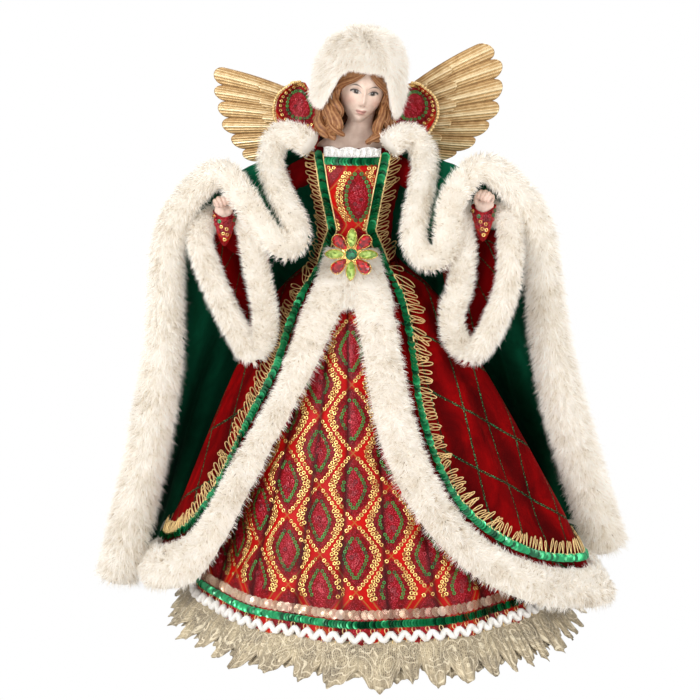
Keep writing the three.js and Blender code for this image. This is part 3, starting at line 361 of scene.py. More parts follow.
# A table of [position, value], eased from each row to the next
def easedTable(rows, at):
    rows = np.asarray(rows, float)
    k = np.clip(np.searchsorted(rows[:, 0], at, side="left"), 1, len(rows) - 1)
    a, b = rows[k - 1], rows[k]
    return mix(a[..., 1], b[..., 1], smooth((at - a[..., 0]) / (b[..., 0] - a[..., 0])))


# The cone's radius plus a standoff, the flare of the coat at that turn and a swell of thirteen waves
def coatRadius(turn, z):
    flare = easedTable(coatFlareShares, np.degrees(turn)) * 38 * fall(z) ** 0.6
    swell = np.sin(np.pi * np.minimum(1, fall(z) * 1.12)) * 3.2
    standoff = mix(1.1, 6.0, smooth(fall(z) / 0.07))
    return coneRadius(z) + standoff + flare + swell * pleat(turn, 13, 0)


# Turn and height of the coat's edge at a share of its length, moved inwards by an offset
def coatEdgeAt(share, offset):
    share = np.clip(share, 0, 1)
    at, ahead = along(coatEdge, share), heading(coatEdge, share)
    turn = at[..., 0] / skirt["hemRadius"]
    radius = coatRadius(turn, at[..., 1])
    slope = unit(np.stack([ahead[..., 0] / skirt["hemRadius"] * radius, ahead[..., 1]], -1))
    return turn + slope[..., 1] * offset / radius, at[..., 1] - slope[..., 0] * offset


# Point and outward normal of surface(turn, z)
def onSurface(surface, turn, z, step=0.004):
    point = surface(turn, z)
    across = surface(turn + step, z) - surface(turn - step, z)
    up = surface(turn, z + step * 60) - surface(turn, z - step * 60)
    return point, unit(np.cross(across, up))


# Sequin shapes: a ring sequin is a flat washer with a raised middle line; a disc is a shallow cup.
def ringShape(radius, hole, height, sides=10):
    turn = np.linspace(0, 2 * math.pi, sides, endpoint=False)
    circle = np.stack([np.cos(turn), np.sin(turn), np.zeros(sides)], 1)
    rows = [circle * hole, circle * (hole + radius) / 2 + [0, 0, height], circle * radius]
    return np.concatenate(rows), [gridFaces(3, sides, True)[:, ::-1]]


# A rim, a ring at 0.45 of the radius and a middle point, the rim raised
def discShape(radius, height, sides=9):
    turn = np.linspace(0, 2 * math.pi, sides, endpoint=False)
    circle = np.stack([np.cos(turn), np.sin(turn), np.zeros(sides)], 1)
    points = np.concatenate([circle * radius + [0, 0, height], circle * radius * 0.45, [[0, 0, 0.0]]])
    ring = np.arange(sides)
    cap = np.stack([ring + sides, (ring + 1) % sides + sides, np.full(sides, 2 * sides)], 1)
    return points, [gridFaces(2, sides, True), cap]


# Points at one pitch along a flat polyline, with its direction there
def spaced(xs, zs, pitch):
    flat = np.stack([xs, zs], 1)
    length = np.concatenate([[0], np.cumsum(np.linalg.norm(np.diff(flat, axis=0), axis=1))])
    at = np.arange(pitch / 2, length[-1], pitch)
    where = np.stack([np.interp(at, length, flat[:, k]) for k in (0, 1)], 1)
    ahead = unit(np.stack([np.interp(at + 0.5, length, flat[:, k]) for k in (0, 1)], 1) - where + [0, 1e-6])
    return np.concatenate([where, ahead], 1)


# The lattice: staggered cells whose outline is |x| / wide + (|z| / tall) ^ power = 1, satin showing between them
lattice = {"column": 22.7, "tall": 41.0, "middle": -1.1, "start": 76.5, "cellHalf": 15.0, "ovalHalf": 7.2,
           "ovalTall": 13.2, "power": 1.35}


# Middles of the cells between two heights; every other column starts half a cell higher
def latticeCells(columns, low, high):
    for k in range(-columns, columns + 1):
        first = lattice["start"] + (lattice["tall"] / 2 if k % 2 else 0)
        for j in range(int((low - first) // lattice["tall"]) - 1, int((high - first) // lattice["tall"]) + 2):
            yield lattice["middle"] + k * lattice["column"], first + j * lattice["tall"]


# One side of a cell: its half width shrinks by the power of the share of its height
def cellOutline(x, z, wide, tall, side, reach, offset, pitch):
    t = np.linspace(-reach, reach, 60)
    return spaced(x + side * (wide * (1 - np.abs(t) ** lattice["power"]) + offset), z + t * tall, pitch)


# Ring sequins of a traditional ogee lattice: gold rows round each cell, a green pointed oval, a red heart
def ogeePattern(columns, low, high):
    gold, green, red = [], [], []
    for x, z in latticeCells(columns, low, high):
        for side in (-1, 1):
            for reach, inset in ((0.93, 0.0), (rng.uniform(0.3, 0.5), -2.5)):
                gold.append(cellOutline(x, z, lattice["cellHalf"], lattice["tall"] / 2, side, reach, inset, 2.9))
            green.append(cellOutline(x, z, lattice["ovalHalf"], lattice["ovalTall"], side, 0.97, 0, 2.35))
        heart = rng.normal(0, 1, (9, 2)) * [1.5, 3.4]
        red.append(np.concatenate([heart + [x, z], np.tile([0, 1.0], (len(heart), 1))], 1))
    return [np.concatenate(rows) for rows in (gold, green, red)]


# Red woven satin: a soft painted sheen along the bands of its weave, and painted shade darkening its folds. In each
# cell of the lattice it lies under dark red net.
satinLook = {"rough": 0.42, "weave": [(0.3, "#8a0202"), (0.5, "#ab0504"), (0.72, "#c60a06")], "shine": "#dc1a10",
             "net": [(0.3, "#3a0103"), (0.55, "#6d0406"), (0.75, "#8f0a10")], "heart": "#8c0614", "spark": "#ec4a62",
             "thread": "#9a6a2c", "fold": "#240001"}


# Wave and noise give the weave; rim and heart sums from the flat pattern place the net on it
def makeSatin(name):
    material, tree, shader, place = newMaterial(name, Roughness=satinLook["rough"], Specular_IOR_Level=0.12)
    uv = addNode(tree, "UVMap")
    weave = addNode(tree, "TexWave", uv, Scale=0.35, Distortion=1.0, Detail=2.0, take="Fac",
                    settings={"wave_type": "BANDS", "bands_direction": "DIAGONAL"})
    base = addNode(tree, "ValToRGB", addNode(tree, "TexNoise", place, Scale=60, Detail=3, Roughness=0.55),
                   stops=satinLook["weave"])
    # painted sheen: a lighter red laid along the weave's diagonal bands
    colour = addNode(tree, "MixRGB", addNode(tree, "Math MULTIPLY", weave, 0.18), base, linear(satinLook["shine"]))
    height = addNode(tree, "TexNoise", place, Scale=130, Detail=5, Roughness=0.55)
    # a cell and its heart are |x| / wide + (|z| / tall) ^ power below 1, for the two nearest cells
    half, power = lattice["tall"] / 2, lattice["power"]
    axes = addNode(tree, "SeparateXYZ", uv).node.outputs
    across, along = [addNode(tree, "Math PINGPONG", addNode(tree, "Math SUBTRACT", axes[k], start), span)
                     for k, start, span in ((0, lattice["middle"], lattice["column"]), (1, lattice["start"], half))]
    rims, hearts = [], []
    for x, z in ((across, along), (addNode(tree, "Math SUBTRACT", lattice["column"], across),
                                   addNode(tree, "Math SUBTRACT", half, along))):
        for sums, wide, tall in ((rims, "cellHalf", half), (hearts, "ovalHalf", lattice["ovalTall"])):
            rise = addNode(tree, "Math POWER", addNode(tree, "Math DIVIDE", z, tall), power)
            sums.append(addNode(tree, "Math ADD", addNode(tree, "Math DIVIDE", x, lattice[wide]), rise))
    rim, heart = addNode(tree, "Math MINIMUM", *rims), addNode(tree, "Math MINIMUM", *hearts)
    within = addNode(tree, "Math LESS_THAN", heart, 0.82)
    net = addNode(tree, "MapRange", rim, 1.0, 0.78, settings={"interpolation_type": "SMOOTHSTEP"})
    # the foil specks under the net are real; their bright pink is a painted glint
    near = addNode(tree, "Math LESS_THAN", addNode(tree, "TexVoronoi", uv, Scale=1.6), 0.28)
    glint = addNode(tree, "Math MULTIPLY", near, net)
    dark = addNode(tree, "ValToRGB", addNode(tree, "TexNoise", place, Scale=330, Detail=4, Roughness=0.55),
                   stops=satinLook["net"])
    dark = addNode(tree, "MixRGB", addNode(tree, "Math MULTIPLY", within, 0.55), dark, linear(satinLook["heart"]))
    colour = addNode(tree, "MixRGB", addNode(tree, "Math MULTIPLY", net, 0.9), colour, dark)
    sparkle = addNode(tree, "Math MULTIPLY", glint, addNode(tree, "Math MULTIPLY_ADD", within, 0.5, 0.5))
    colour = addNode(tree, "MixRGB", sparkle, colour, linear(satinLook["spark"]))  # foil seen through the net
    edge = addNode(tree, "Math ABSOLUTE", addNode(tree, "Math SUBTRACT", rim, 1.0))
    thread = addNode(tree, "Math MULTIPLY", addNode(tree, "Math LESS_THAN", edge, 0.035), 0.6)
    colour = addNode(tree, "MixRGB", thread, colour, linear(satinLook["thread"]))
    height = addNode(tree, "Math SUBTRACT", addNode(tree, "Math MULTIPLY", height, 0.6), net)
    # painted shade: the fold attribute darkens the satin to near black in its folds
    folds = addNode(tree, "Attribute", settings={"attribute_name": "fold"}, take="Fac")
    colour = addNode(tree, "MixRGB", addNode(tree, "Math MULTIPLY", folds, 0.88), colour, linear(satinLook["fold"]))
    coarse = addNode(tree, "Bump", Height=height, Strength=0.45, Distance=0.0012)
    fine = addNode(tree, "Bump", Height=weave, Strength=0.15, Distance=0.0002, Normal=coarse)
    feed(shader, Base_Color=colour, Normal=fine)
    return material


# Deep pile velvet: painted shade, near black, in the folds, brushed streaks, a pale sheen where it turns away; on the
# overskirt glitter is glued in two families of slanting lines, drawn 3 mm wide so that it shows.
velvetLines = [{"wide": 24.0, "tall": 96.0, "half": 0.031}, {"wide": 73.0, "tall": 33.0, "half": 0.024}]


# Stretched noise gives the brushed streaks; the lines are folded sums of both flat directions
def makeVelvet(name, dark, middle, light, glitter=None):
    material, tree, shader, place = newMaterial(name, Roughness=0.85, Sheen_Weight=0.1, Sheen_Roughness=0.3,
                                                Specular_IOR_Level=0.05, Sheen_Tint=linear(light))
    brushed = addNode(tree, "TexNoise", addNode(tree, "Mapping", place, Scale=(1, 1, 0.35)), Scale=55, Detail=6,
                      Roughness=0.62, Distortion=0.8)
    colour = addNode(tree, "ValToRGB", brushed, stops=[(0.22, dark), (0.5, middle), (0.8, light)])
    # painted shade: the fold attribute darkens the velvet to near black in its folds
    folds = addNode(tree, "Attribute", settings={"attribute_name": "fold"}, take="Fac")
    colour = addNode(tree, "MixRGB", addNode(tree, "Math MULTIPLY", folds, 0.8), colour,
                     linear("#1c0001" if glitter else "#01120b"))
    if glitter:
        uv = addNode(tree, "UVMap")
        axes = addNode(tree, "SeparateXYZ", uv).node.outputs
        sideways = addNode(tree, "Math ABSOLUTE", axes[0])
        lines = []
        for line in velvetLines:
            row = addNode(tree, "Math ADD", addNode(tree, "Math DIVIDE", sideways, line["wide"]),
                          addNode(tree, "Math DIVIDE", axes[1], line["tall"]))
            lines.append(addNode(tree, "Math LESS_THAN", addNode(tree, "Math PINGPONG", row, 0.5), line["half"]))
        glued = addNode(tree, "Math MAXIMUM", *lines)
        grains = addNode(tree, "TexVoronoi", uv, Scale=1.15).node.outputs
        speck = addNode(tree, "Math MULTIPLY", glued, addNode(tree, "Math LESS_THAN", grains["Distance"], 0.3))
        bright = addNode(tree, "Math MULTIPLY_ADD", addNode(tree, "SeparateXYZ", grains["Color"]), 1.1)
        shine = addNode(tree, "HueSaturation", Color=linear(glitter), Value=bright)
        colour = addNode(tree, "MixRGB", addNode(tree, "Math MULTIPLY", glued, 0.78), colour, linear("#0a2616"))
        colour = addNode(tree, "MixRGB", speck, colour, shine)
        feed(shader, Metallic=addNode(tree, "Math MULTIPLY", speck, 0.35),
             Roughness=addNode(tree, "Math MULTIPLY_ADD", speck, -0.55, 0.85))
    coarse = addNode(tree, "Bump", Height=brushed, Strength=0.22, Distance=0.002)
    pile = addNode(tree, "TexNoise", place, Scale=900, Detail=3, Roughness=0.55)
    feed(shader, Base_Color=colour,
         Normal=addNode(tree, "Bump", Height=pile, Strength=0.3, Distance=0.0004, Normal=coarse))
    return material


# Stamped foil sequins: a bright metal face, a slightly different tone on each piece
def makeSequin(name, colour, other, metallic, rough, alpha=1.0, pale=None):
    material, tree, shader, place = newMaterial(name, Roughness=rough, Metallic=metallic, Coat_Weight=0.4,
                                                Coat_Roughness=0.08, Alpha=alpha)
    tone = addNode(tree, "Attribute", settings={"attribute_name": "tone"}, take="Fac")
    dents = addNode(tree, "TexNoise", place, Scale=2500, Detail=2, Roughness=0.55)
    stops = [(0.0, other), (0.55, colour), (1.0, pale or colour)]
    feed(shader, Base_Color=addNode(tree, "ValToRGB", tone, stops=stops),
         Normal=addNode(tree, "Bump", Height=dents, Strength=0.15, Distance=0.0001))
    return material


latticeSatin = makeSatin("red_satin_under_net")
burgundyVelvet = makeVelvet("burgundy_velvet", "#380001", "#720103", "#a20405", glitter="#2a8a5a")
greenVelvet = makeVelvet("green_velvet", "#063c28", "#0a5238", "#126847")
goldSequin = makeSequin("gold_ring_sequin", "#dfb96f", "#a87338", 0.8, 0.24)
greenSequin = makeSequin("green_foil_sequin", "#1d9e60", "#06452a", 0.6, 0.25)
oliveSequin = makeSequin("green_ring_sequin", "#347f32", "#183f1b", 0.6, 0.3)
redSequin = makeSequin("crimson_ring_sequin", "#a01024", "#640614", 0.5, 0.3)
champagneSequin = makeSequin("champagne_paillette", "#d2b292", "#9a6c5c", 0.35, 0.22, 0.55, "#ead0bc")
ringSequin = ringShape(1.38, 0.66, 0.32)


# Ring sequins of pattern rows (x, z, direction) laid on surface(turn, z) where keep(turn, z) holds
def sequinPiece(name, rows, surface, keep, material, slot, toTurn, shape=ringSequin, lift=0.55, scale=1.0):
    turn = toTurn(rows[:, 0], rows[:, 1])
    kept = keep(turn, rows[:, 1])
    rows, turn = rows[kept], turn[kept]
    point, normal = onSurface(surface, turn, rows[:, 1])
    axes = frameAt(normal, (0, 0, 1))
    wobble = rng.normal(0, 0.09, (len(rows), 2))
    tilted = frameAt(normal + axes[:, 0] * wobble[:, :1] + axes[:, 1] * wobble[:, 1:])
    points, faces = scatter(*shape, point + normal * lift, tilted, np.full(len(rows), scale))
    tone = np.repeat(rng.uniform(0, 1, len(rows)), len(shape[0]))
    return addPiece(name, points, faces, material, slot, values={"tone": tone})


# Underskirt: a cone of red satin with long soft folds, its lattice of sequins on the part that shows
# 0 in the narrow folds that run down the skirt, 1 on the rounded cloth between them
def ridge(turn, z):
    return np.abs(np.sin(turn * 10.5 + 0.25 * np.sin(z * 0.028) + 0.5 * np.sin(turn * 3) + 0.9)) ** 0.5


# The underskirt's radius plus the ridges, deeper towards the hem
def underPoint(turn, z):
    return around(turn, underRadius(turn, z) + 0.7 + skirt["foldDepth"] * ridge(turn, z) * fall(z) ** 0.5, z)


underPoints, underFaces, underUv = closedSheet(
    lambda u, v: underPoint(u * 2 * np.pi, mix(skirt["waistHeight"] - 0.3, 15, v)), 0.7, 84, 420, wrap=True)
underTurn = (underUv[:, 0] * 2 * np.pi + np.pi) % (2 * np.pi) - np.pi
underUv = np.stack([underTurn * (coneRadius(underPoints[:, 2]) + 1.5), underPoints[:, 2]], 1)
# the fold attribute is painted shade: 1 in the narrow folds, 0 on the rounded cloth between them
underskirt = addPiece("underskirt_satin", underPoints, underFaces, latticeSatin, "brocade", ["underskirt"], underUv,
                      {"fold": smooth((0.74 - ridge(underTurn, underPoints[:, 2])) / 0.6)})
goldRows, greenRows, redRows = ogeePattern(9, 50, 240)


# The turn at which a point of the flat pattern lies
def patternTurn(x, z):
    return x / (coneRadius(z) + 1.5)


# The strip of underskirt between the coat's front edges, and a little beneath them
def underShows(turn, z):
    share = np.linspace(0, 1, 400)
    turns, heights = coatEdgeAt(share, skirt["openingDepth"])
    low = np.interp(z, heights[:140][::-1], turns[:140][::-1])
    high = np.interp(z, heights[-140:], turns[-140:] + 2 * np.pi)
    inside = (turn > low - 0.03) & (turn < high + 0.03) & (ridge(turn, z) > 0.36)
    return inside & (z < skirt["sequinHigh"]) & (z > skirt["sequinLow"])


for tag, rows, foil, scale in (("gold", goldRows, goldSequin, 1.0), ("green", greenRows, oliveSequin, 0.86),
                               ("red", redRows, redSequin, 1.0)):
    sequinPiece(f"underskirt_{tag}_sequins", rows, underPoint, underShows, foil, "brocade", patternTurn, scale=scale)
print("underskirt made")

# Fur: tapered strands in leaning clumps over a lumpy base; the tint runs from painted shade, tan, at the roots to cream
# tips.
# Fur: how thick a strand is, how many draw together, how far, and the shares of single dark and golden ones
furLook = {"thickness": 0.21, "clump": 9, "spread": 0.24, "pull": 0.22, "dark": 0.008, "golden": 0.05}


# Cream long pile: painted shade, warm grey, at the roots, cream tips that let a little light through, single dark and
# golden hairs, and a faint painted glow of the pile's own colour
def makeFur():
    material, tree, shader, place = newMaterial("cream_faux_fur", Roughness=0.75, Sheen_Weight=0.35,
                                                Sheen_Roughness=0.5, Specular_IOR_Level=0.25, Emission_Strength=0.1)
    tint = addNode(tree, "Attribute", settings={"attribute_name": "tint"}, take="Fac")
    cloud = addNode(tree, "Math MULTIPLY_ADD", addNode(tree, "TexNoise", place, Scale=60, Detail=4, Roughness=0.55),
                    0.62, -0.29)
    colour = addNode(tree, "ValToRGB", addNode(tree, "Math ADD", tint, cloud), stops=[
        (0.0, "#5a4834"), (0.12, "#ab967c"), (0.28, "#dbcfbb"), (0.5, "#f3ede3"), (0.8, "#fdfaf5")])
    grain = addNode(tree, "TexNoise", place, Scale=700, Detail=4, Roughness=0.55)
    # a faint painted glow: the fur emits its own colour though it is no lamp
    feed(shader, Base_Color=colour, Emission_Color=colour,
         Normal=addNode(tree, "Bump", Height=grain, Strength=0.6, Distance=0.0008))
    glow = addNode(tree, "BsdfTranslucent", Color=colour)
    feed(tree.nodes["Material Output"], addNode(tree, "MixShader", 0.35, shader.outputs[0], glow))
    return material


fur = makeFur()


# Strands from roots: each clump has its own heading, and its strands draw together to the tip
def strands(roots, normals, flow, length, thickness=furLook["thickness"], clump=furLook["clump"], lean=0.5,
            spread=furLook["spread"]):
    count = len(roots)
    length = np.broadcast_to(length, count) * rng.uniform(0.65, 1.15, count)
    chosen = rng.choice(count, max(1, count // clump), replace=False)
    tree = kdtree.KDTree(len(chosen))
    for k, root in enumerate(roots[chosen]):
        tree.insert(root, k)
    tree.balance()
    near = np.array([tree.find(root)[1] for root in roots])
    headings = unit(normals[chosen] + flow[chosen] * lean + rng.normal(0, spread, (len(chosen), 3)))
    own = unit(headings[near] + rng.normal(0, 0.24, (count, 3)))
    bend = flow * 0.25 + rng.normal(0, 0.13, (count, 3)) + [0, 0, -0.12]
    side = unit(np.cross(own, rng.normal(0, 1, (count, 3))))

    # A strand's point at a share: root plus its own direction, bent by the square of the share, drawn to its clump
    def at(s):
        free = roots + own * (length * s)[:, None] + bend * (length * s * s)[:, None]
        together = roots[chosen][near] + headings[near] * (length * s)[:, None] + bend * (length * s * s)[:, None]
        return mix(free, together, furLook["pull"] * s)

    wide = thickness * rng.uniform(0.7, 1.3, count)
    rows = []
    for s in (0.0, 0.5):
        edge = side * (wide * (1 - s) ** 0.7)[:, None]
        rows += [at(s) - edge, at(s) + edge]
    points = np.stack([*rows, at(1.0)], 1)
    start = (np.arange(count) * 5)[:, None]
    tone = rng.normal(0.0, 0.1, count) + rng.normal(0, 0.1, len(chosen))[near]
    odd = rng.uniform(0, 1, count)
    tone = np.where(odd < furLook["dark"], -0.5, np.where(odd < furLook["golden"], -0.22, tone))
    # painted shade: each strand's tint is darker at the root than at the tip
    tint = np.clip(0.42 + 0.45 * np.array([[0, 0, 0.5, 0.5, 1.0]]) + tone[:, None], 0.02, 1)
    return points.reshape(-1, 3), [start + [0, 1, 3, 2], start + [2, 3, 4]], tint.ravel()


# The backing and the strands as one padded piece; tint runs from the painted grey shade of the backing and the roots to
# the tips' cream
def furPiece(name, base, backingShade, hair, replaces):
    points, faces = gather([base, hair[:2]])
    tint = np.concatenate([backingShade, hair[2]])
    piece = addPiece(name, points, faces, fur, "fur", replaces, values={"tint": tint})
    return piece


# A soft lumpiness made of a few crossed waves
def lumpy(points, amount, size):
    x, y, z = points.T / size
    return amount * (np.sin(x * 1.9 + y * 1.1) * np.sin(z * 1.7 + x * 0.6) + 0.6 * np.sin(y * 3.1 + z * 2.3 + x * 1.3))


# Fur round a tube: radiusOf(share) is the tube's radius, length(share) the pile's length
def furTube(name, curve, radiusOf, count, length, replaces, closed=False, steps=150):
    share = np.linspace(0, 1, steps, endpoint=not closed)
    route = along(curve, share)
    radius = radiusOf(share) * 0.84
    points, faces = tubeMesh(route, radius, 14, closed)
    middles = np.repeat(route, 14, 0)
    away = unit(points - middles)
    points = points + away * lumpy(points, 0.6, 5)[:, None]
    ahead, side, other = tubeFrames(route, closed)
    at = np.interp(rng.uniform(0, 1, (2, count))[1], np.cumsum(radius) / np.sum(radius), share)
    row = np.clip((at * (len(route) - 1)).astype(int), 0, len(route) - 1)
    turn = rng.uniform(0, 2 * math.pi, count)
    normal = side[row] * np.cos(turn)[:, None] + other[row] * np.sin(turn)[:, None]
    roots = along(curve, at) + normal * (np.interp(at, share, radius) * 0.95)[:, None]
    hair = strands(roots, normal, ahead[row], length(at), lean=0.35)
    return furPiece(name, (points, faces), np.full(len(points), 0.5), hair, replaces)


# Overskirt of burgundy velvet, open in front
firstTurn, lastTurn = math.radians(coatEdgeTurns[0]), math.radians(coatEdgeTurns[-1])


# From the waist (v 0) down to the edge (v 1) at each share of the edge, with creases that fade at both
def coatSurface(u, v):
    at = along(coatEdge, u)
    turn = at[:, 0] / skirt["hemRadius"]
    progress = 0.8 * (turn - firstTurn) / (lastTurn - firstTurn) + 0.2 * u
    z = mix(249.0, np.minimum(at[:, 1], 249 - 1.2 * (1 + v)), v)
    here = mix(mix(firstTurn, lastTurn, progress), turn, v)
    crease = 2.2 * np.sin(here * 19 + z * 0.012) * np.sqrt(fall(z)) + 0.6 * np.sin(here * 43 - z * 0.03) * fall(z)
    away = smooth(v * 4) * smooth((z - at[:, 1] - 26) / 22)
    return around(here, coatRadius(here, z) + 1.2 + (crease - 0.6) * away, z)


coatPoints, coatFaces, coatUv = closedSheet(coatSurface, 1.1, 60, 260)
coatTurn = np.arctan2(coatPoints[:, 0] - axisX(coatPoints[:, 2]), -coatPoints[:, 1])
coatUv = np.stack([coatTurn * coatRadius(np.where(coatTurn > 0, coatTurn - 2 * np.pi, coatTurn), coatPoints[:, 2]),
                   coatPoints[:, 2]], 1)
# painted shade for the velvet: darker in the valleys of the creases, deeper down the skirt
coatFoldShade = smooth((-np.sin(coatTurn * 19 + coatPoints[:, 2] * 0.012) - 0.1) / 0.9) * np.sqrt(fall(coatPoints[:, 2]))
overskirt = addPiece("overskirt_velvet", coatPoints, coatFaces, burgundyVelvet, "burgundy_velvet", ["overskirt"],
                     coatUv, {"fold": coatFoldShade})
print("overskirt made")


# Point, normal and direction of a trim line, from its own place(share, offset, lift)
def trimFrame(place, share, offset, lift, step=0.002):
    point = place(share, offset, lift)
    ahead = unit(place(np.minimum(share + step, 1), offset, lift) - place(np.maximum(share - step, 0), offset, lift))
    across = unit(place(share, offset + 0.4, lift) - place(share, offset - 0.4, lift))
    return point, unit(np.cross(across, ahead)), ahead


# Normals turned away from the upright line through x 5, y 8
def outward(normal, point):
    away = (point - [5.0, 8.0, 0]) * [1, 1, 0]
    return np.where(np.sum(normal * away, 1, keepdims=True) < 0, -normal, normal)


# Overlapping sequins sewn in rows along a trim line, each leaning on the next
def shinglePiece(name, place, total, offset, lift, radius, pitch, material, slot, replaces, tilt=0.5,
                 ends=(0.01, 0.99)):
    share = np.arange(ends[0], ends[1], pitch / total) + rng.uniform(0, pitch / total)
    share = share[share < ends[1]]
    point, normal, ahead = trimFrame(place, share, offset, lift)
    jitter = rng.normal(0, 0.13, (len(share), 3))
    axes = frameAt(unit(outward(normal, point) + ahead * tilt + jitter))
    shape, shapeFaces = discShape(radius, 0.35)
    points, faces = scatter(shape, shapeFaces, point, axes)
    tone = np.repeat(rng.uniform(0, 1, len(share)), len(shape))
    return addPiece(name, points, faces, material, slot, replaces, values={"tone": tone})


# Loop braid: a row of thread loops standing out from a twisted middle cord
braid = {"thread": 0.36, "cord": 0.36 * 1.4, "twist": 0.25, "corners": 14}


# Each loop is a circle narrowed at its foot and thrown outwards; the cord swings along the loops' feet
def braidPiece(name, place, total, middle, half, lift, pitch, replaces, ends=(0.01, 0.99)):
    share = np.arange(ends[0], ends[1], pitch / total)
    loops, corners = len(share), braid["corners"]
    turn = np.linspace(0, 2 * np.pi, corners, endpoint=False)
    lean = rng.normal(-0.3, 0.2, loops)
    reach = rng.uniform(0.75, 1.15, loops)
    out = (1 - np.cos(turn)) / 2
    side = np.sin(turn) * (0.35 + 0.65 * out) * pitch * 0.5
    flatShare = (share[:, None] + (side + lean[:, None] * out * 2 * half) / total).ravel()
    flatOffset = (middle - half + reach[:, None] * out * 2 * half).ravel()
    rise = lift + 0.45 * (1 + np.sin(np.tile(turn, loops)))
    route = place(np.clip(flatShare, 0, 1), flatOffset, rise).reshape(loops, corners, 3)
    ahead = unit(np.roll(route, -1, 1) - np.roll(route, 1, 1))
    point, normal, _ = trimFrame(place, share, middle, lift)
    normal = np.broadcast_to(outward(normal, point)[:, None], ahead.shape)
    other = unit(np.cross(ahead, normal))
    rings = np.stack([route + (normal * math.cos(a) + other * math.sin(a)) * braid["thread"]
                      for a in (0, math.pi / 2, math.pi, 3 * math.pi / 2)], 2)
    n, j, i = np.meshgrid(np.arange(loops), np.arange(corners), np.arange(4), indexing="ij")
    base, after, k = n * corners * 4, (j + 1) % corners, (i + 1) % 4
    faces = np.stack([base + j * 4 + i, base + j * 4 + k, base + after * 4 + k, base + after * 4 + i], -1)
    line = np.linspace(ends[0], ends[1], int(total * (ends[1] - ends[0]) / 1.4))
    offset = np.full(len(line), middle - half) + braid["twist"] * np.sin(line * total * 2.4)
    cord = tubeMesh(place(line, offset, lift + 0.4), braid["cord"], 5)
    points, faces = gather([(rings.reshape(-1, 3), [faces.reshape(-1, 4)]), cord])
    return addPiece(name, points, faces, goldThread, "gold_braid", replaces)


# Metallic thread: fine slanting wraps, drawn 0.4 mm apart so that they show, with a painted glint: the colour runs from
# dark to light across each wrap
def makeThread(name, dark, light, metallic=0.75, rough=0.32):
    material, tree, shader, place = newMaterial(name, Roughness=rough, Metallic=metallic)
    wraps = addNode(tree, "TexWave", place, Scale=420.0, Distortion=2.0, Detail=2.0, take="Fac",
                    settings={"bands_direction": "DIAGONAL"})
    mottle = addNode(tree, "TexNoise", place, Scale=320, Detail=3, Roughness=0.55)
    tone = addNode(tree, "Math MULTIPLY_ADD", mottle, wraps)
    feed(shader, Base_Color=addNode(tree, "ValToRGB", tone, stops=[(0.2, dark), (0.8, light)]),
         Normal=addNode(tree, "Bump", Height=wraps, Strength=0.4, Distance=0.0003))
    return material


goldThread = makeThread("gold_thread", "#b5823c", "#f4d698", 0.5)
coatShares = np.linspace(0, 1, 900)


# The coat's edge moved inwards and smoothed, so that it rounds the corners at the back of each front edge
def trimLine(offset):
    turn, z = coatEdgeAt(coatShares, offset)
    weight = np.exp(-((np.arange(-110, 111) / 48) ** 2))
    padded = [np.concatenate([2 * row[0] - row[110:0:-1], row, 2 * row[-1] - row[-2:-112:-1]]) for row in (turn, z)]
    return [np.convolve(row, weight / weight.sum(), "valid") for row in padded]


trimLines = {offset: trimLine(offset) for offset in (9.5, 15.0, 25.0)}


# Turn and height of a point beside the coat's edge, read between two of the smoothed lines
def coatTrimPlace(share, offset):
    offset = np.broadcast_to(np.asarray(offset, float), np.shape(share))
    rows = [[np.interp(share, coatShares, row) for row in trimLines[key]] for key in (15.0, 25.0)]
    t = (offset - 15) / 10
    return mix(rows[0][0], rows[1][0], t), mix(rows[0][1], rows[1][1], t)


# A point of a trim line, lifted off the coat's radius
def coatTrimPoint(share, offset, lift):
    turn, z = coatTrimPlace(share, offset)
    return around(turn, coatRadius(turn, z) + 1.2 + lift, z)


coatLength = float(np.sum(np.linalg.norm(np.diff(coatTrimPoint(np.linspace(0, 1, 600), 15.0, 3.0), axis=0), axis=1)))
coatFur = {"strands": 53000, "pile": 3.9, "thick": 6.4}


# A half round along the coat's edge: the square root of 1 less the squared place across it
def coatFurBase(u, v):
    w = v * 2 - 1
    pile = coatFur["thick"] * np.sqrt(np.maximum(0.05, 1 - w * w))
    share = mix(0.006, 0.994, u)
    outer = coatEdgeAt(share, -10.5)
    turn, z = [mix(a, np.interp(share, coatShares, b), v) for a, b in zip(outer, trimLines[9.5])]
    point = around(turn, coatRadius(turn, z) + 1.2 + 2.6 + pile, z)
    return point + unit(np.stack([np.sin(turn), -np.cos(turn), 0 * turn], -1)) * lumpy(point, 0.7, 5)[:, None]


furPoints, furFaces, _ = closedSheet(coatFurBase, 2.0, 11, 340)
u, w = rng.uniform(0.004, 0.996, coatFur["strands"]), rng.uniform(-1, 1, coatFur["strands"])
v = (w + 1) / 2
roots = coatFurBase(u, v)
ahead = coatFurBase(np.minimum(u + 0.002, 1), v) - coatFurBase(np.maximum(u - 0.002, 0), v)
across = coatFurBase(u, np.minimum(v + 0.03, 1)) - coatFurBase(u, np.maximum(v - 0.03, 0))
normal = outward(unit(np.cross(across, ahead)), roots)
normal = unit(normal + unit(across) * (w * 0.4)[:, None])
flow = unit(unit(across) * np.sign(w)[:, None] * 0.6 + [0, 0, -0.6])
hair = strands(roots, normal, flow, coatFur["pile"])
furPiece("overskirt_fur", (furPoints, furFaces), np.full(len(furPoints), 0.5), hair, ["overskirt_fur_edge"])
print("overskirt trims made")


# Hem of the underskirt: paillettes, shingled sequins, ric-rac with gold loops, and a gathered lace ruffle
def hemPlace(share, height, lift):
    turn = np.asarray(share) * 2 * np.pi
    return around(turn, underRadius(turn, height) + 0.7 + lift, height + 0 * turn)


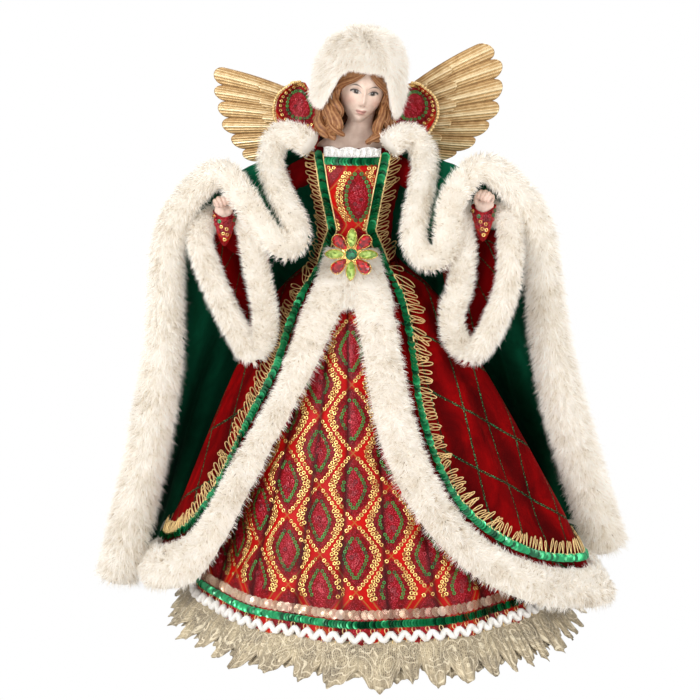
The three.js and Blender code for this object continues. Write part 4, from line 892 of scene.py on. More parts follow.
hem = {"length": 2 * math.pi * 118, "braidHeight": 29.8, "braidSwing": 2.0, "braidRadius": 2.35, "fuzz": 7000,
       "waves": 86, "laceLength": 880, "leafWidths": (12, 29), "leafLengths": (21.5, 27.0)}
shinglePiece("hem_paillettes", hemPlace, hem["length"], 43.0, 3.0, 3.3, 4.1, champagneSequin, "paillette",
             ["hem_paillette_ribbon"], tilt=0.2, ends=(0.0, 1.0))
shinglePiece("hem_green_sequins", hemPlace, hem["length"], 37.3, 3.2, 2.6, 1.9, greenSequin, "green_sequin",
             ["hem_sequin_band"], ends=(0.0, 1.0))

# White brushed yarn: soft shade between its fibres
whiteBraid, tree, shader, place = newMaterial("brushed_white_braid", Roughness=0.9, Sheen_Weight=0.5,
                                              Sheen_Roughness=0.6)
shade = addNode(tree, "TexNoise", place, Scale=260, Detail=4, Roughness=0.55)
fibres = addNode(tree, "TexNoise", place, Scale=1500, Detail=4, Roughness=0.55)
feed(shader, Base_Color=addNode(tree, "ValToRGB", shade, stops=[(0.3, "#d9d3c8"), (0.6, "#fbf8f3")]),
     Normal=addNode(tree, "Bump", Height=fibres, Strength=0.7, Distance=0.0006))
waves = hem["waves"]
share = np.linspace(0, 1, waves * 10, endpoint=False)
wavePath = hemPlace(share, hem["braidHeight"] + hem["braidSwing"] * np.sin(share * 2 * np.pi * waves), 3.2)
points, faces = tubeMesh(wavePath, hem["braidRadius"], 9, closed=True, flatten=0.8)
points = points + rng.normal(0, 0.12, points.shape)
row = rng.integers(0, len(wavePath), hem["fuzz"])
away = unit(rng.normal(0, 1, (hem["fuzz"], 3)))
hair = strands(wavePath[row] + away * 1.7, away, away, 1.5, thickness=0.14, clump=4, spread=0.3)
points, faces = gather([(points, faces), hair[:2]])
addPiece("hem_white_ricrac", points, faces, whiteBraid, "white_braid", ["hem_ric_rac"])
loopParts = []
for k in range(waves * 2):
    centre = (k + 0.5) / (waves * 2) + 0.25 / waves
    side = 1 if k % 2 else -1
    turn = np.linspace(0, 2 * np.pi, 14, endpoint=False)
    aside = side * (1.9 + 1.6 * (1 - np.cos(turn)))
    route = hemPlace(centre + 0.0017 * np.sin(turn), hem["braidHeight"] + aside, 2.2 + 0.2 * np.cos(turn))
    loopParts.append(tubeMesh(route, braid["thread"], 4, closed=True))
points, faces = gather(loopParts)
addPiece("hem_gold_loops", points, faces, goldThread, "gold_braid")

# Lace: gold net with ribs down each leaf, open between its threads
goldLace, tree, shader, place = newMaterial("gold_thread_lace", Roughness=0.55, Metallic=0.2, Sheen_Weight=0.15,
                                            Sheen_Roughness=0.5)
uv = addNode(tree, "UVMap")
mesh = addNode(tree, "TexVoronoi", uv, Scale=0.7, settings={"feature": "DISTANCE_TO_EDGE"})
sway = addNode(tree, "Math MULTIPLY", addNode(tree, "TexNoise", place, Scale=90, Detail=2, Roughness=0.55), 2.0)
rib = addNode(tree, "Math PINGPONG", addNode(tree, "Math ADD", addNode(tree, "SeparateXYZ", uv), sway), 0.7)
thread = addNode(tree, "Math MAXIMUM", addNode(tree, "Math LESS_THAN", mesh, 0.12),
                 addNode(tree, "Math LESS_THAN", rib, 0.17))
dense = addNode(tree, "Attribute", settings={"attribute_name": "dense"}, take="Fac")
cover = addNode(tree, "Math MULTIPLY_ADD", addNode(tree, "Math MAXIMUM", thread, dense), 0.3, 0.7)
cloth = addNode(tree, "ValToRGB", addNode(tree, "TexNoise", place, Scale=75, Detail=5, Roughness=0.55),
                stops=[(0.3, "#655848"), (0.5, "#95856b"), (0.72, "#c2b190")])
cloth = addNode(tree, "MixRGB", addNode(tree, "Math MULTIPLY", thread, 0.32), cloth, linear("#e2d3b2"))
whorl = addNode(tree, "TexVoronoi", uv, Scale=0.085, Randomness=0.8)
bend = addNode(tree, "Math MULTIPLY", addNode(tree, "TexNoise", place, Scale=160, Detail=2, Roughness=0.55), 0.12)
motif = addNode(tree, "Math PINGPONG", addNode(tree, "Math ADD", whorl, bend), 0.11)
motif = addNode(tree, "Math LESS_THAN", motif, 0.022)
crumple = addNode(tree, "TexNoise", place, Scale=260, Detail=4, Roughness=0.55)
crumple = addNode(tree, "Bump", Height=crumple, Strength=0.5, Distance=0.0008)
cloth = addNode(tree, "MixRGB", addNode(tree, "Math MULTIPLY", motif, 0.6), cloth, linear("#ecdfc2"))
feed(shader, Alpha=cover, Base_Color=cloth,
     Normal=addNode(tree, "Bump", Height=addNode(tree, "Math MAXIMUM", thread, motif), Strength=0.6, Distance=0.0005,
                    Normal=crumple))
leafEdges = np.cumsum(rng.uniform(*hem["leafWidths"], 60))
leafEdges = leafEdges[leafEdges < hem["laceLength"] - 20]
leafEdges = np.concatenate([[0], leafEdges, [hem["laceLength"]]]) / hem["laceLength"]
leafLong = rng.uniform(*hem["leafLengths"], len(leafEdges) - 1)
leafLean = rng.uniform(2, 9, len(leafEdges) - 1)


# Gathered leaves of uneven width: each is a point v down from the hem, folded in where two leaves meet
def rufflePoint(u, v, under=0.0):
    leaf = np.clip(np.searchsorted(leafEdges, u, side="right") - 1, 0, len(leafLong) - 1)
    wide = leafEdges[leaf + 1] - leafEdges[leaf]
    t = (u - leafEdges[leaf]) / wide * 2 - 1
    turn = (u + under * 0.013) * 2 * np.pi
    leftward = np.where(turn > np.pi, 1.0, 0.35)
    reach = leafLong[leaf] - 3 * under - (10.5 - 2 * under) * np.abs(t) ** 1.9 + 0.5 * np.cos(t * 14)
    z = 27.6 - v * reach
    turn = turn - leftward * leafLean[leaf] * (1 - np.abs(t)) * v ** 1.5 / 140
    fold = 3.8 * (1 - 1.7 * np.abs(t) ** 1.3) * v + 1.3 * np.cos(t * 11 + leaf) * v
    out = 2.6 - 1.3 * under + (6.5 - 3.5 * under) * v + fold * (1 - 0.4 * under)
    return around(turn, underRadius(turn, z) + out, z)


points, faces, uv = closedSheet(rufflePoint, 0.35, 12, 1000, wrap=True)
underLayer = closedSheet(lambda u, v: rufflePoint(u, v, 1.0), 0.35, 12, 1000, wrap=True)
points, faces = gather([(points, faces), underLayer[:2]])
uv = np.concatenate([uv, underLayer[2]])
dense = np.clip(smooth((uv[:, 1] - 0.55) / 0.3) + smooth((0.16 - uv[:, 1]) / 0.08), 0, 1)
uv = np.stack([uv[:, 0] * hem["laceLength"], uv[:, 1] * 25], 1)
ruffle = addPiece("gold_lace_ruffle", points, faces, goldLace, "gold_lace", ["lace_ruffle"], uv, {"dense": dense})
print("hem made")

# Cape of green velvet, its fur edges and its drapes; the outlines are shares of the doll's height
capeSizes = {"swell": 23, "pleats": 9, "pleatDepth": 7, "crease": 2.2, "edgeFur": (9, 14), "hemFur": 5.0,
              "edgePile": (4.0, 2.2), "hemPile": 6.0, "edgeStrands": 41500, "hemStrands": 32500}
capeTop = curveThrough(fromShares([
    [-0.204, -0.103, 0.768], [-0.175, -0.055, 0.765], [-0.14, -0.012, 0.78], [-0.098, 0.028, 0.792],
    [-0.05, 0.0515, 0.786], [0, 0.0538, 0.784], [0.05, 0.0515, 0.786], [0.092, 0.028, 0.792],
    [0.13, -0.012, 0.785], [0.17, -0.055, 0.775], [0.21, -0.103, 0.782]]))
capeHem = curveThrough(fromShares([
    [-0.4, -0.037, 0.05], [-0.37, 0.15, 0.046], [-0.24, 0.31, 0.044], [0.035, 0.392, 0.042],
    [0.27, 0.325, 0.046], [0.405, 0.2, 0.06], [0.425, 0.06, 0.1]]))


# A straight line from the cape's top to its hem, pushed outwards by the swell at the elbows and by pleats
def capeAt(u, v, extra=0.0):
    u, v = np.broadcast_arrays(np.asarray(u, float), np.asarray(v, float))
    top, hem = along(capeTop, u), along(capeHem, u)
    out = unit(np.stack([hem[..., 0] - hemLean * 0.5, hem[..., 1], 0 * u], -1))
    side = np.maximum(1 - smooth(u / 0.2), 1 - smooth((1 - u) / 0.2))
    fold = capeSizes["pleatDepth"] * v * (1 - 0.7 * side) * pleat(u * 2 * np.pi, capeSizes["pleats"], 1.2)
    swell = capeSizes["swell"] * (v / 0.13) * np.exp(1 - v / 0.13)
    return mix(top, hem, v[..., None]) + out * (swell * side + fold + extra)[..., None]


# The edge fur's radius grows down the edge, and starts narrower at the top
def edgeFurRadius(v):
    return mix(*capeSizes["edgeFur"], smooth(v * 1.4)) * smooth(v / 0.06 + 0.72)


# Length of the cape's row at a share of its height, as a sum of chords
def rowLength(v):
    return float(np.sum(np.linalg.norm(np.diff(capeAt(np.linspace(0, 1, 17), v), axis=0), axis=1)))


# The cape inset by half the edge fur, with creases of two waves that fade at the borders
def capeSurface(u, v):
    lengths = np.interp(v, np.linspace(0, 1, 15), [rowLength(s) for s in np.linspace(0, 1, 15)])
    inset = (edgeFurRadius(v) * 0.55) / lengths
    crease = capeSizes["crease"] * np.sin(u * 71 + v * 3) * v + 0.8 * np.sin(u * 43 - v * 7)
    crease = crease * smooth(v * 5) * smooth(u * 12) * smooth((1 - u) * 12)
    return capeAt(mix(inset, 1 - inset, u), v * 0.985, 1.2 + crease)


points, faces, uv = closedSheet(capeSurface, 1.1, 60, 230)
# painted shade for the velvet: darker in the valleys of the creases, deeper towards the hem
capeFoldShade = smooth((-np.sin(uv[:, 0] * 71 + uv[:, 1] * 3) - 0.1) / 0.9) * uv[:, 1]
cape = addPiece("cape_velvet", points, faces, greenVelvet, "green_velvet", ["cape"], uv * 400,
                {"fold": capeFoldShade})
capeLoops = {"left": [[-0.066, -0.066, 0.81], [-0.09, -0.052, 0.824], [-0.12, -0.036, 0.82], [-0.13, -0.058, 0.783],
                      [-0.112, -0.092, 0.739], [-0.088, -0.112, 0.7], [-0.08, -0.122, 0.672], [-0.096, -0.13, 0.655],
                      [-0.118, -0.132, 0.67], [-0.146, -0.13, 0.705], [-0.175, -0.12, 0.747], [-0.204, -0.108, 0.772]],
             "right": [[0.06, -0.066, 0.81], [0.078, -0.052, 0.824], [0.1, -0.036, 0.82], [0.117, -0.056, 0.79],
                       [0.113, -0.09, 0.742], [0.105, -0.112, 0.7], [0.107, -0.126, 0.66], [0.128, -0.134, 0.642],
                       [0.152, -0.134, 0.652], [0.158, -0.13, 0.69], [0.162, -0.124, 0.726], [0.18, -0.118, 0.762],
                       [0.21, -0.108, 0.786]]}
for side, edge in (("left", 0.0), ("right", 1.0)):
    loop = fromShares(capeLoops[side])
    stops = np.array([0.07, 0.15, 0.26, 0.4, 0.55, 0.7, 0.85, 0.97])
    curve = curveThrough(np.concatenate([loop, capeAt(edge, stops)]))
    whole, loopLength = curve[1][-1], curveThrough(loop)[1][-1]

    # The loop over the shoulder is even; down the cape's edge the radius follows edgeFurRadius
    def radiusOf(share):
        v = (share * whole - loopLength) / (whole - loopLength)
        radius = np.where(v < 0, mix(8.6, 9.2, smooth(1 + v * 4)), edgeFurRadius(np.maximum(v, 0)) + 1)
        return np.maximum(8.6, radius)

    # The pile lengthens from the shoulder to the hem
    def pileOf(share):
        return capeSizes["edgePile"][0] + capeSizes["edgePile"][1] * smooth(share * 1.6 - 0.3)

    furTube("cape_edge_fur_" + side, curve, radiusOf, capeSizes["edgeStrands"], pileOf, ["cape_fur_" + side], steps=220)


# A strip along the cape's hem, rounded over by the sine of its place across
def hemFurPoint(u, v, extra=0.0):
    inset = (14 + 5) / rowLength(1.0) * 1.3 * 0.8
    tall = 18 / 300
    rounded = np.maximum(0.3, np.sin(np.pi * v))
    return capeAt(mix(inset, 1 - inset, u), 0.975 - tall * (1 - v), 2.4 + extra * rounded)


points, faces, _ = closedSheet(lambda u, v: hemFurPoint(u, v, capeSizes["hemFur"]), 4.0, 9, 200)
count = capeSizes["hemStrands"]
u, v = rng.uniform(0, 1, count), rng.uniform(0.02, 0.98, count)
roots = hemFurPoint(u, v, 4.8)
across = hemFurPoint(np.minimum(u + 0.004, 1), v, 4.8) - roots + 1e-6
normal = outward(unit(np.cross(across, hemFurPoint(u, v + 0.02, 4.8) - roots)), roots)
normal = unit(normal + np.stack([0 * v, 0 * v, 0.8 - 1.6 * v], 1))
hair = strands(roots, normal, np.tile([0, 0, -1.0], (count, 1)), capeSizes["hemPile"], lean=0.3)
furPiece("cape_hem_fur", (points, faces), np.full(len(points), 0.5), hair, ["cape_fur_hem"])
drapeRuns = {"left": ([[-0.128, -0.05, 0.79], [-0.11, -0.09, 0.739], [-0.09, -0.113, 0.69]],
                      [[-0.2, -0.106, 0.757], [-0.15, -0.12, 0.71], [-0.108, -0.124, 0.685]]),
             "right": ([[0.117, -0.05, 0.795], [0.113, -0.088, 0.742], [0.112, -0.116, 0.68]],
                       [[0.205, -0.106, 0.767], [0.16, -0.124, 0.715], [0.14, -0.124, 0.672]])}
for side in ("left", "right"):
    down, up = [curveThrough(fromShares(run)) for run in drapeRuns[side]]

    # A sheet between the two curves, waved by two sines
    def drapeSurface(u, v):
        between = mix(along(down, v * 0.97), along(up, v * 0.97), mix(0.04, 0.96, u)[:, None])
        wave = 1.6 * np.sin(u * 9 + v * 4) + 0.8 * np.sin(u * 21 - v * 3)
        return between + np.stack([0 * u, 8.0 - wave, 0 * u], 1)

    points, faces, uv = closedSheet(drapeSurface, 0.9, 30, 36)
    addPiece("cape_drape_velvet_" + side, points, faces, greenVelvet, "green_velvet",
                           ["cape_drape_" + side], uv * 60)
print("cape made")

# Bell sleeves: a fur ring round each hanging mouth and burgundy velvet inside it
sleeves = {"fur": 7.5, "pile": 4.5, "strands": 23000, "ripple": 0.8}
mouths = {"left": [[-0.2, -0.05, 0.692], [-0.234, -0.088, 0.686], [-0.238, -0.112, 0.66], [-0.222, -0.118, 0.613],
                   [-0.202, -0.123, 0.566], [-0.177, -0.123, 0.517], [-0.155, -0.121, 0.482], [-0.136, -0.123, 0.507],
                   [-0.132, -0.126, 0.546], [-0.14, -0.126, 0.594], [-0.15, -0.12, 0.64], [-0.162, -0.09, 0.68]],
          "right": [[0.212, -0.05, 0.702], [0.25, -0.088, 0.698], [0.256, -0.113, 0.66], [0.254, -0.118, 0.606],
                    [0.24, -0.123, 0.559], [0.222, -0.123, 0.517], [0.198, -0.121, 0.49], [0.172, -0.123, 0.512],
                    [0.165, -0.126, 0.552], [0.178, -0.126, 0.6], [0.182, -0.12, 0.65], [0.178, -0.09, 0.69]]}
throats = {"left": [-0.158, -0.045, 0.65], "right": [0.163, -0.045, 0.65]}
for side, sign in (("left", -1), ("right", 1)):
    mouth = curveThrough(fromShares(mouths[side]), closed=True)
    throat = fromShares([throats[side]])[0]

    # From the mouth's curve to an ellipse at the wrist, rippled half way
    def sleeveSurface(u, v):
        share = mix(0.14, 0.86, u)
        turn = share * 2 * np.pi
        ring = along(mouth, share) + [0, 5.6, 0]
        middle = throat + np.stack([sign * 10 * np.sin(turn), 0 * turn, 17 * np.cos(turn)], 1)
        ripple = sleeves["ripple"] * np.sin(turn * 9) * v * (1 - v) * 4
        return mix(ring, middle, v[:, None]) + np.stack([0 * u, ripple, 0 * u], 1)

    points, faces, uv = closedSheet(sleeveSurface, 0.8, 16, 80)
    addPiece("sleeve_velvet_" + side, points, faces, burgundyVelvet, "burgundy_velvet",
                           ["sleeve_" + side], uv * [180, 30] + [7, 7])
    furTube("sleeve_fur_ring_" + side, mouth, lambda s: sleeves["fur"] + 0 * s, sleeves["strands"],
            lambda s: sleeves["pile"] + 0 * s, ["sleeve_fur_" + side], closed=True, steps=120)
print("sleeves made")

# Bodice: ellipses whose half widths follow the height, covered in burgundy velvet
bodice = {"low": 250.35, "high": 326.0, "wide": 27.5, "deep": 24.5, "trimLow": 273.0, "trimHigh": 322.5,
          "panelLow": 262.0, "panelHigh": 316.0, "ovalX": 4.6, "ovalZ": 295.5}
bodiceWidthShares = [[0, 1], [0.15, 0.88], [0.35, 0.92], [0.68, 1.08], [0.9, 1.14], [1, 1.08]]
bodiceDepthShares = [[0, 1], [0.15, 0.9], [0.35, 0.95], [0.68, 1.1], [0.9, 0.9], [1, 0.76]]


# Half width and half depth of the bodice at a height, from the eased tables
def bodiceHalf(z, extra):
    rise = np.clip((z - bodice["low"]) / (bodice["high"] - bodice["low"]), 0, 1)
    return (bodice["wide"] * easedTable(bodiceWidthShares, rise) + extra,
            bodice["deep"] * easedTable(bodiceDepthShares, rise) + extra)


# An ellipse at each height, wrinkled by a small sine
def bodiceSurface(u, v):
    turn, z = u * 2 * np.pi, mix(bodice["high"], bodice["low"], v)
    pull = 0.25 * np.sin(z * 0.9 + 3 * np.sin(turn)) * smooth(v * 6) * smooth((1 - v) * 6)
    wide, deep = bodiceHalf(z, pull)
    return np.stack([axisX(z) + wide * np.sin(turn), -deep * np.cos(turn), z], -1)


plainVelvet = makeVelvet("burgundy_velvet_plain", "#330002", "#620104", "#8c0407")
bodicePoints, bodiceFaces, _ = closedSheet(bodiceSurface, 1.1, 50, 160, wrap=True)
addPiece("bodice_velvet", bodicePoints, bodiceFaces, plainVelvet, "burgundy_velvet", ["bodice"])


# The point of the bodice's front ellipse at x: depth times the root of 1 less x squared over width squared
def frontPoint(x, z, extra):
    wide, deep = bodiceHalf(z, extra)
    return np.stack([axisX(z) + x, -deep * np.sqrt(1 - np.minimum(0.99, (x / wide) ** 2)), z], -1)


# Middle of the side ribbon: it widens evenly with height, and again below the waist
def stripMiddle(z):
    low, high = bodice["trimLow"], bodice["trimHigh"]
    return np.where(z > low, mix(12.5, 22.0, (z - low) / (high - low)), 12.5 + 0.36 * (low - z))


# The panel reaches to the inner edge of the side ribbon
def panelHalf(z):
    return stripMiddle(z) - 3.2


# The panel: red satin with one pointed oval of green rings, gold double rows either side of it
def panelSurface(lift):
    def surface(u, v):
        z = mix(bodice["panelHigh"], bodice["panelLow"], v)
        half = np.minimum(panelHalf(z), 12.0 + 8 * smooth((z - 273) / 30))
        return frontPoint(mix(-1, 1, u) * half, z, 1.1 + lift)
    return surface


panelPoints, panelFaces, _ = closedSheet(panelSurface(1.0), 0.9, 24, 24)
panelUv = np.stack([panelPoints[:, 0] - bodice["ovalX"] + lattice["middle"],
                    (panelPoints[:, 2] - bodice["ovalZ"]) * 1.1 + lattice["start"]], 1)
addPiece("bodice_panel_satin", panelPoints, panelFaces, latticeSatin, "brocade", ["bodice_panel"], panelUv)
ovalZ = np.linspace(279, 311.5, 80)
ovalHalf = 7.6 * (1 - np.abs((ovalZ - bodice["ovalZ"]) / 17.2) ** 2.2)
panelRows = {"green": [spaced(bodice["ovalX"] + side * ovalHalf, ovalZ, 3.0) for side in (-1, 1)],
             "gold": [], "red": []}
for side in (-1, 1):
    bow = bodice["ovalX"] + side * (ovalHalf * 0.85 + 5.6)
    panelRows["gold"] += [spaced(bow + offset, ovalZ, 2.75) for offset in (-1.25, 1.25)]
    corner = np.linspace(-1, 1, 20)
    for offset in (0, 2.6):
        for x, z in ((12.8 + offset * 0.5 + corner * 2.5, 312.5 - corner * 2.2 + offset * 0.7),
                     (9.3 - offset * 0.3 + corner * 0.4, 278.5 + corner * 3.4 - offset)):
            panelRows["gold"].append(spaced(side * x, z, 2.75))
for x, z in ((0.4, 303), (2.6, 304.5), (1.4, 300), (4.4, 301), (2.4, 296.5), (4.9, 296), (0.6, 293),
             (3.2, 291.5), (2.6, 287)):
    panelRows["red"].append(np.array([[x + 2, z - 2, 0.0, 1.0]]))
smallRing = ringShape(1.3, 0.5, 0.4)
for tag, foil in (("gold", goldSequin), ("green", oliveSequin), ("red", redSequin)):
    sequinPiece(f"bodice_panel_{tag}_sequins", np.concatenate(panelRows[tag]), lambda x, z: frontPoint(x, z, 2.1),
                lambda x, z: (np.abs(x) < panelHalf(z) - 0.6) & (z < 315), foil, "brocade", lambda x, z: x,
                smallRing, 0.4)


# The side ribbon's line: a height for each share, offset sideways from the ribbon's middle
def sideTrim(side):
    def place(share, offset, lift):
        z = mix(bodice["trimHigh"], 250.8, share) + 0 * np.asarray(offset)
        return frontPoint(side * (stripMiddle(z) + offset), z, 1.1 + lift)
    return place


# The neckline's line: across the panel at one height
def neckTrim(share, offset, lift):
    half = panelHalf(319.0) - 0.2
    x = mix(-half, half, share)
    return frontPoint(x, 319.0 + offset + 0 * x, 1.1 + lift)


for side, tag in ((-1, "left"), (1, "right")):
    place = sideTrim(side)
    shinglePiece(f"bodice_green_sequins_{tag}", place, 76.0, 0.0, 1.2, 3.0, 2.0, greenSequin, "green_sequin",
                 [f"bodice_sequin_ribbon_{tag}"])
    braidPiece(f"bodice_gold_loops_{tag}", place, 76.0, 7.0, 3.8, 1.3, 3.5,
               [f"bodice_loop_braid_{tag}"])
    share = np.linspace(0.0, 1.0, 60)
    twist = 1.2 + 0.15 * np.sin(share * 160)
    cords = [tubeMesh(place(share, np.full(60, offset), twist), 0.5, 6) for offset in (-3.0, 2.95)]
    addPiece(f"bodice_ribbon_cords_{tag}", *gather(cords), goldThread, "gold_braid")
shinglePiece("neckline_green_sequins", neckTrim, 36.0, -0.9, 1.2, 2.8, 2.0, greenSequin, "green_sequin",
             ["neckline_sequin_ribbon"], ends=(0.03, 0.97))


# White lace at the neckline: five scallops, each with fanned threads and a corded edge
whiteLace, tree, shader, place = newMaterial("white_lace", Roughness=0.8, Sheen_Weight=0.3, Sheen_Roughness=0.5)
holes = addNode(tree, "TexVoronoi", addNode(tree, "UVMap"), Scale=1.1, Randomness=0.35,
                settings={"feature": "DISTANCE_TO_EDGE"})
thread = addNode(tree, "Math LESS_THAN", holes, 0.2)
shade = addNode(tree, "TexNoise", place, Scale=900, Detail=3, Roughness=0.55)
feed(shader, Alpha=addNode(tree, "Math MAXIMUM", thread, 0.25),
     Base_Color=addNode(tree, "ValToRGB", shade, stops=[(0.3, "#d9d4cc"), (0.65, "#fdfcfa")]),
     Normal=addNode(tree, "Bump", Height=thread, Strength=0.5, Distance=0.0003))


# The lace's upper edge: scallops as the size of a sine
def laceEdge(u):
    return 325.2 + 1.5 * np.abs(np.sin(u * np.pi * 3 + 0.5))


# From the scalloped edge down to the panel, standing off by fine flutes at the edge
def laceSurface(lift):
    def surface(u, v):
        z = mix(laceEdge(u), 320.6, v)
        stand = 0.5 * np.sin(u * np.pi * 20) * (1 - v) + 0.9 * (1 - v)
        return frontPoint(mix(-1, 1, u) * panelHalf(322.0), z, 1.1 + lift + stand)
    return surface


lacePoints, laceFaces, laceUv = closedSheet(laceSurface(0.6), 0.5, 10, 120)
edgeU = np.linspace(0.005, 0.995, 220)
corded = tubeMesh(laceSurface(0.5)(edgeU, 0 * edgeU), 0.5, 6)
loops = [(lacePoints, laceFaces), corded]
for k in range(9):
    for lean in np.linspace(-0.75, 0.75, 7):
        t = np.linspace(0.02, 0.98, 8)
        u = (k + 0.5 + lean * 0.5 * t) / 9
        loops.append(tubeMesh(laceSurface(0.75)(u, 1 - t), 0.24, 4))
points, faces = gather(loops)
uv = np.concatenate([laceUv * [42, 8], np.full((len(points) - len(lacePoints), 2), 0.5)])
addPiece("neckline_lace_white", points, faces, whiteLace, "lace", ["neckline_lace"], uv)


# Overskirt trims: from the ribbons of the bodice, over the waist, down beside the fur
def coatTrim(share, offset, lift):
    share = np.asarray(share, float)
    offset = np.broadcast_to(np.asarray(offset, float), share.shape)
    turn, z = coatTrimPlace(np.clip(share, 0.075, 0.925), offset)
    point = around(turn, coatRadius(turn, z) + 1.2 + lift, z)
    lineTurn = coatTrimPlace(np.clip(share, 0.075, 0.925), 16.0)[0]
    for side, gone in ((-1, (0.075 - share) / 0.075), (1, (share - 0.925) / 0.075)):
        t = np.clip(gone, 0, 1)
        top, lineTop = sideTrim(side)(1.0, offset - 16, lift), sideTrim(side)(1.0, 0.0 * offset, lift)
        topTurn = np.arctan2(lineTop[..., 0] - axisX(lineTop[..., 2]), -lineTop[..., 1])
        topTurn = topTurn + 2 * np.pi * np.round((lineTurn - topTurn) / (2 * np.pi))
        middle, height = mix(lineTurn, topTurn, t), mix(z, 249.0, t)
        aside = side * (offset - 16) / coatRadius(middle, height)
        here = middle + mix(turn - lineTurn, aside, smooth(t * 4))
        onCoat = around(here, coatRadius(here, height) + 1.6 + lift, height)
        joined = mix(onCoat, top, smooth((t - 0.8) / 0.2)[..., None])
        point = np.where((t > 0)[..., None], joined, point)
    return point


shinglePiece("overskirt_green_sequins", coatTrim, coatLength, 16.0, 2.6, 2.9, 2.1, greenSequin,
             "green_sequin", ["overskirt_sequin_ribbon"], tilt=0.3, ends=(0.0, 1.0))
braidPiece("overskirt_gold_loops", coatTrim, coatLength, 22.8, 4.6, 2.1, 3.4,
           ["overskirt_loop_braid"], ends=(0.004, 0.996))
print("bodice made")

# Head: a turned, rolled and nodded casting; local millimetres have the face towards -y
headPlace = np.array([5.2, -7.0, 363.2])


# Rotation matrix about an axis through the origin: the axis's own outer product, cosine and sine
def turnAbout(axis, degrees):
    c, s = math.cos(math.radians(degrees)), math.sin(math.radians(degrees))
    x, y, z = axis
    return np.array([[c + x * x * (1 - c), x * y * (1 - c) - z * s, x * z * (1 - c) + y * s],
                     [y * x * (1 - c) + z * s, c + y * y * (1 - c), y * z * (1 - c) - x * s],
                     [z * x * (1 - c) - y * s, z * y * (1 - c) + x * s, c + z * z * (1 - c)]])


headTurn = turnAbout((0, 0, 1), 12.5) @ turnAbout((0, 1, 0), 9) @ turnAbout((1, 0, 0), 5)


# Head millimetres turned and moved to the head's place
def posed(points):
    return points @ headTurn.T + headPlace


# A bell shape round (x, z): e to the less of both squared distances over their widths
def spot(a, h, x, z, wide, tall):
    return np.exp(-(((a - x) / wide) ** 2) - ((h - z) / tall) ** 2)


# An egg narrowed at the jaw, with the features pushed out or in along the way the face looks
def faceSurface(turn, rise):
    side, front, up = np.sin(turn) * np.cos(rise), np.cos(turn) * np.cos(rise), np.sin(rise)
    jaw = 1 - 0.4 * np.clip(-up, 0, 1) ** 1.7
    a, h = side * 14.6 * jaw, up * np.where(up < 0, 23.4, 21.5)
    b = np.abs(a)
    nose = (2.0 * spot(a, h, 0, -1.0, 1.35, 4.2) + 3.1 * spot(a, h, 0, -6.2, 1.6, 2.3)
            + 0.8 * spot(b, h, 2.0, -7.2, 0.9, 1.0))
    socket = (-1.7 * spot(b, h, 5.3, 1.3, 3.0, 2.4) + 0.95 * spot(b, h, 5.5, 0.5, 2.3, 1.6)
              + 0.6 * spot(b, h, 6.2, 4.8, 3.8, 1.6))
    lips = (1.3 * spot(a, h, 0, -12.2, 3.6, 2.6) + 0.55 * spot(a, h, 0, -11.5, 3.0, 0.75)
            + 0.7 * spot(a, h, 0, -13.5, 2.3, 0.8) - 0.75 * spot(a, h, 0, -12.65, 3.4, 0.32)
            - 0.35 * spot(a, h, 0, -10.3, 0.7, 1.0) - 0.7 * spot(a, h, 0, -15.2, 3.4, 1.0))
    shape = 1.5 * spot(a, h, 0, -18, 3.6, 2.6) + 0.9 * spot(b, h, 8.4, -5.2, 4.2, 4.4) + 0.5 * spot(a, h, 0, 11, 9, 6)
    relief = (nose + socket + lips + shape) * np.clip(front * 3, 0, 1)
    y = -front * 17 * (1 - 0.12 * np.clip(-up, 0, 1)) - relief
    return np.stack([a, y, h], -1), a, h


faceColours = {"skin": "#ead2c2", "blush": "#c9907f", "shade": "#b0897a", "lips": "#b5716a", "mouth": "#7f3b3a",
               "nostril": "#8f5b4c", "eye": "#c9beb6", "irisRim": "#2c2622", "iris": "#5a4636", "pupil": "#050505",
               "glint": "#ffffff", "lash": "#1f1512", "lowerLash": "#5a3c34", "crease": "#7d5b4e", "brow": "#33231c"}


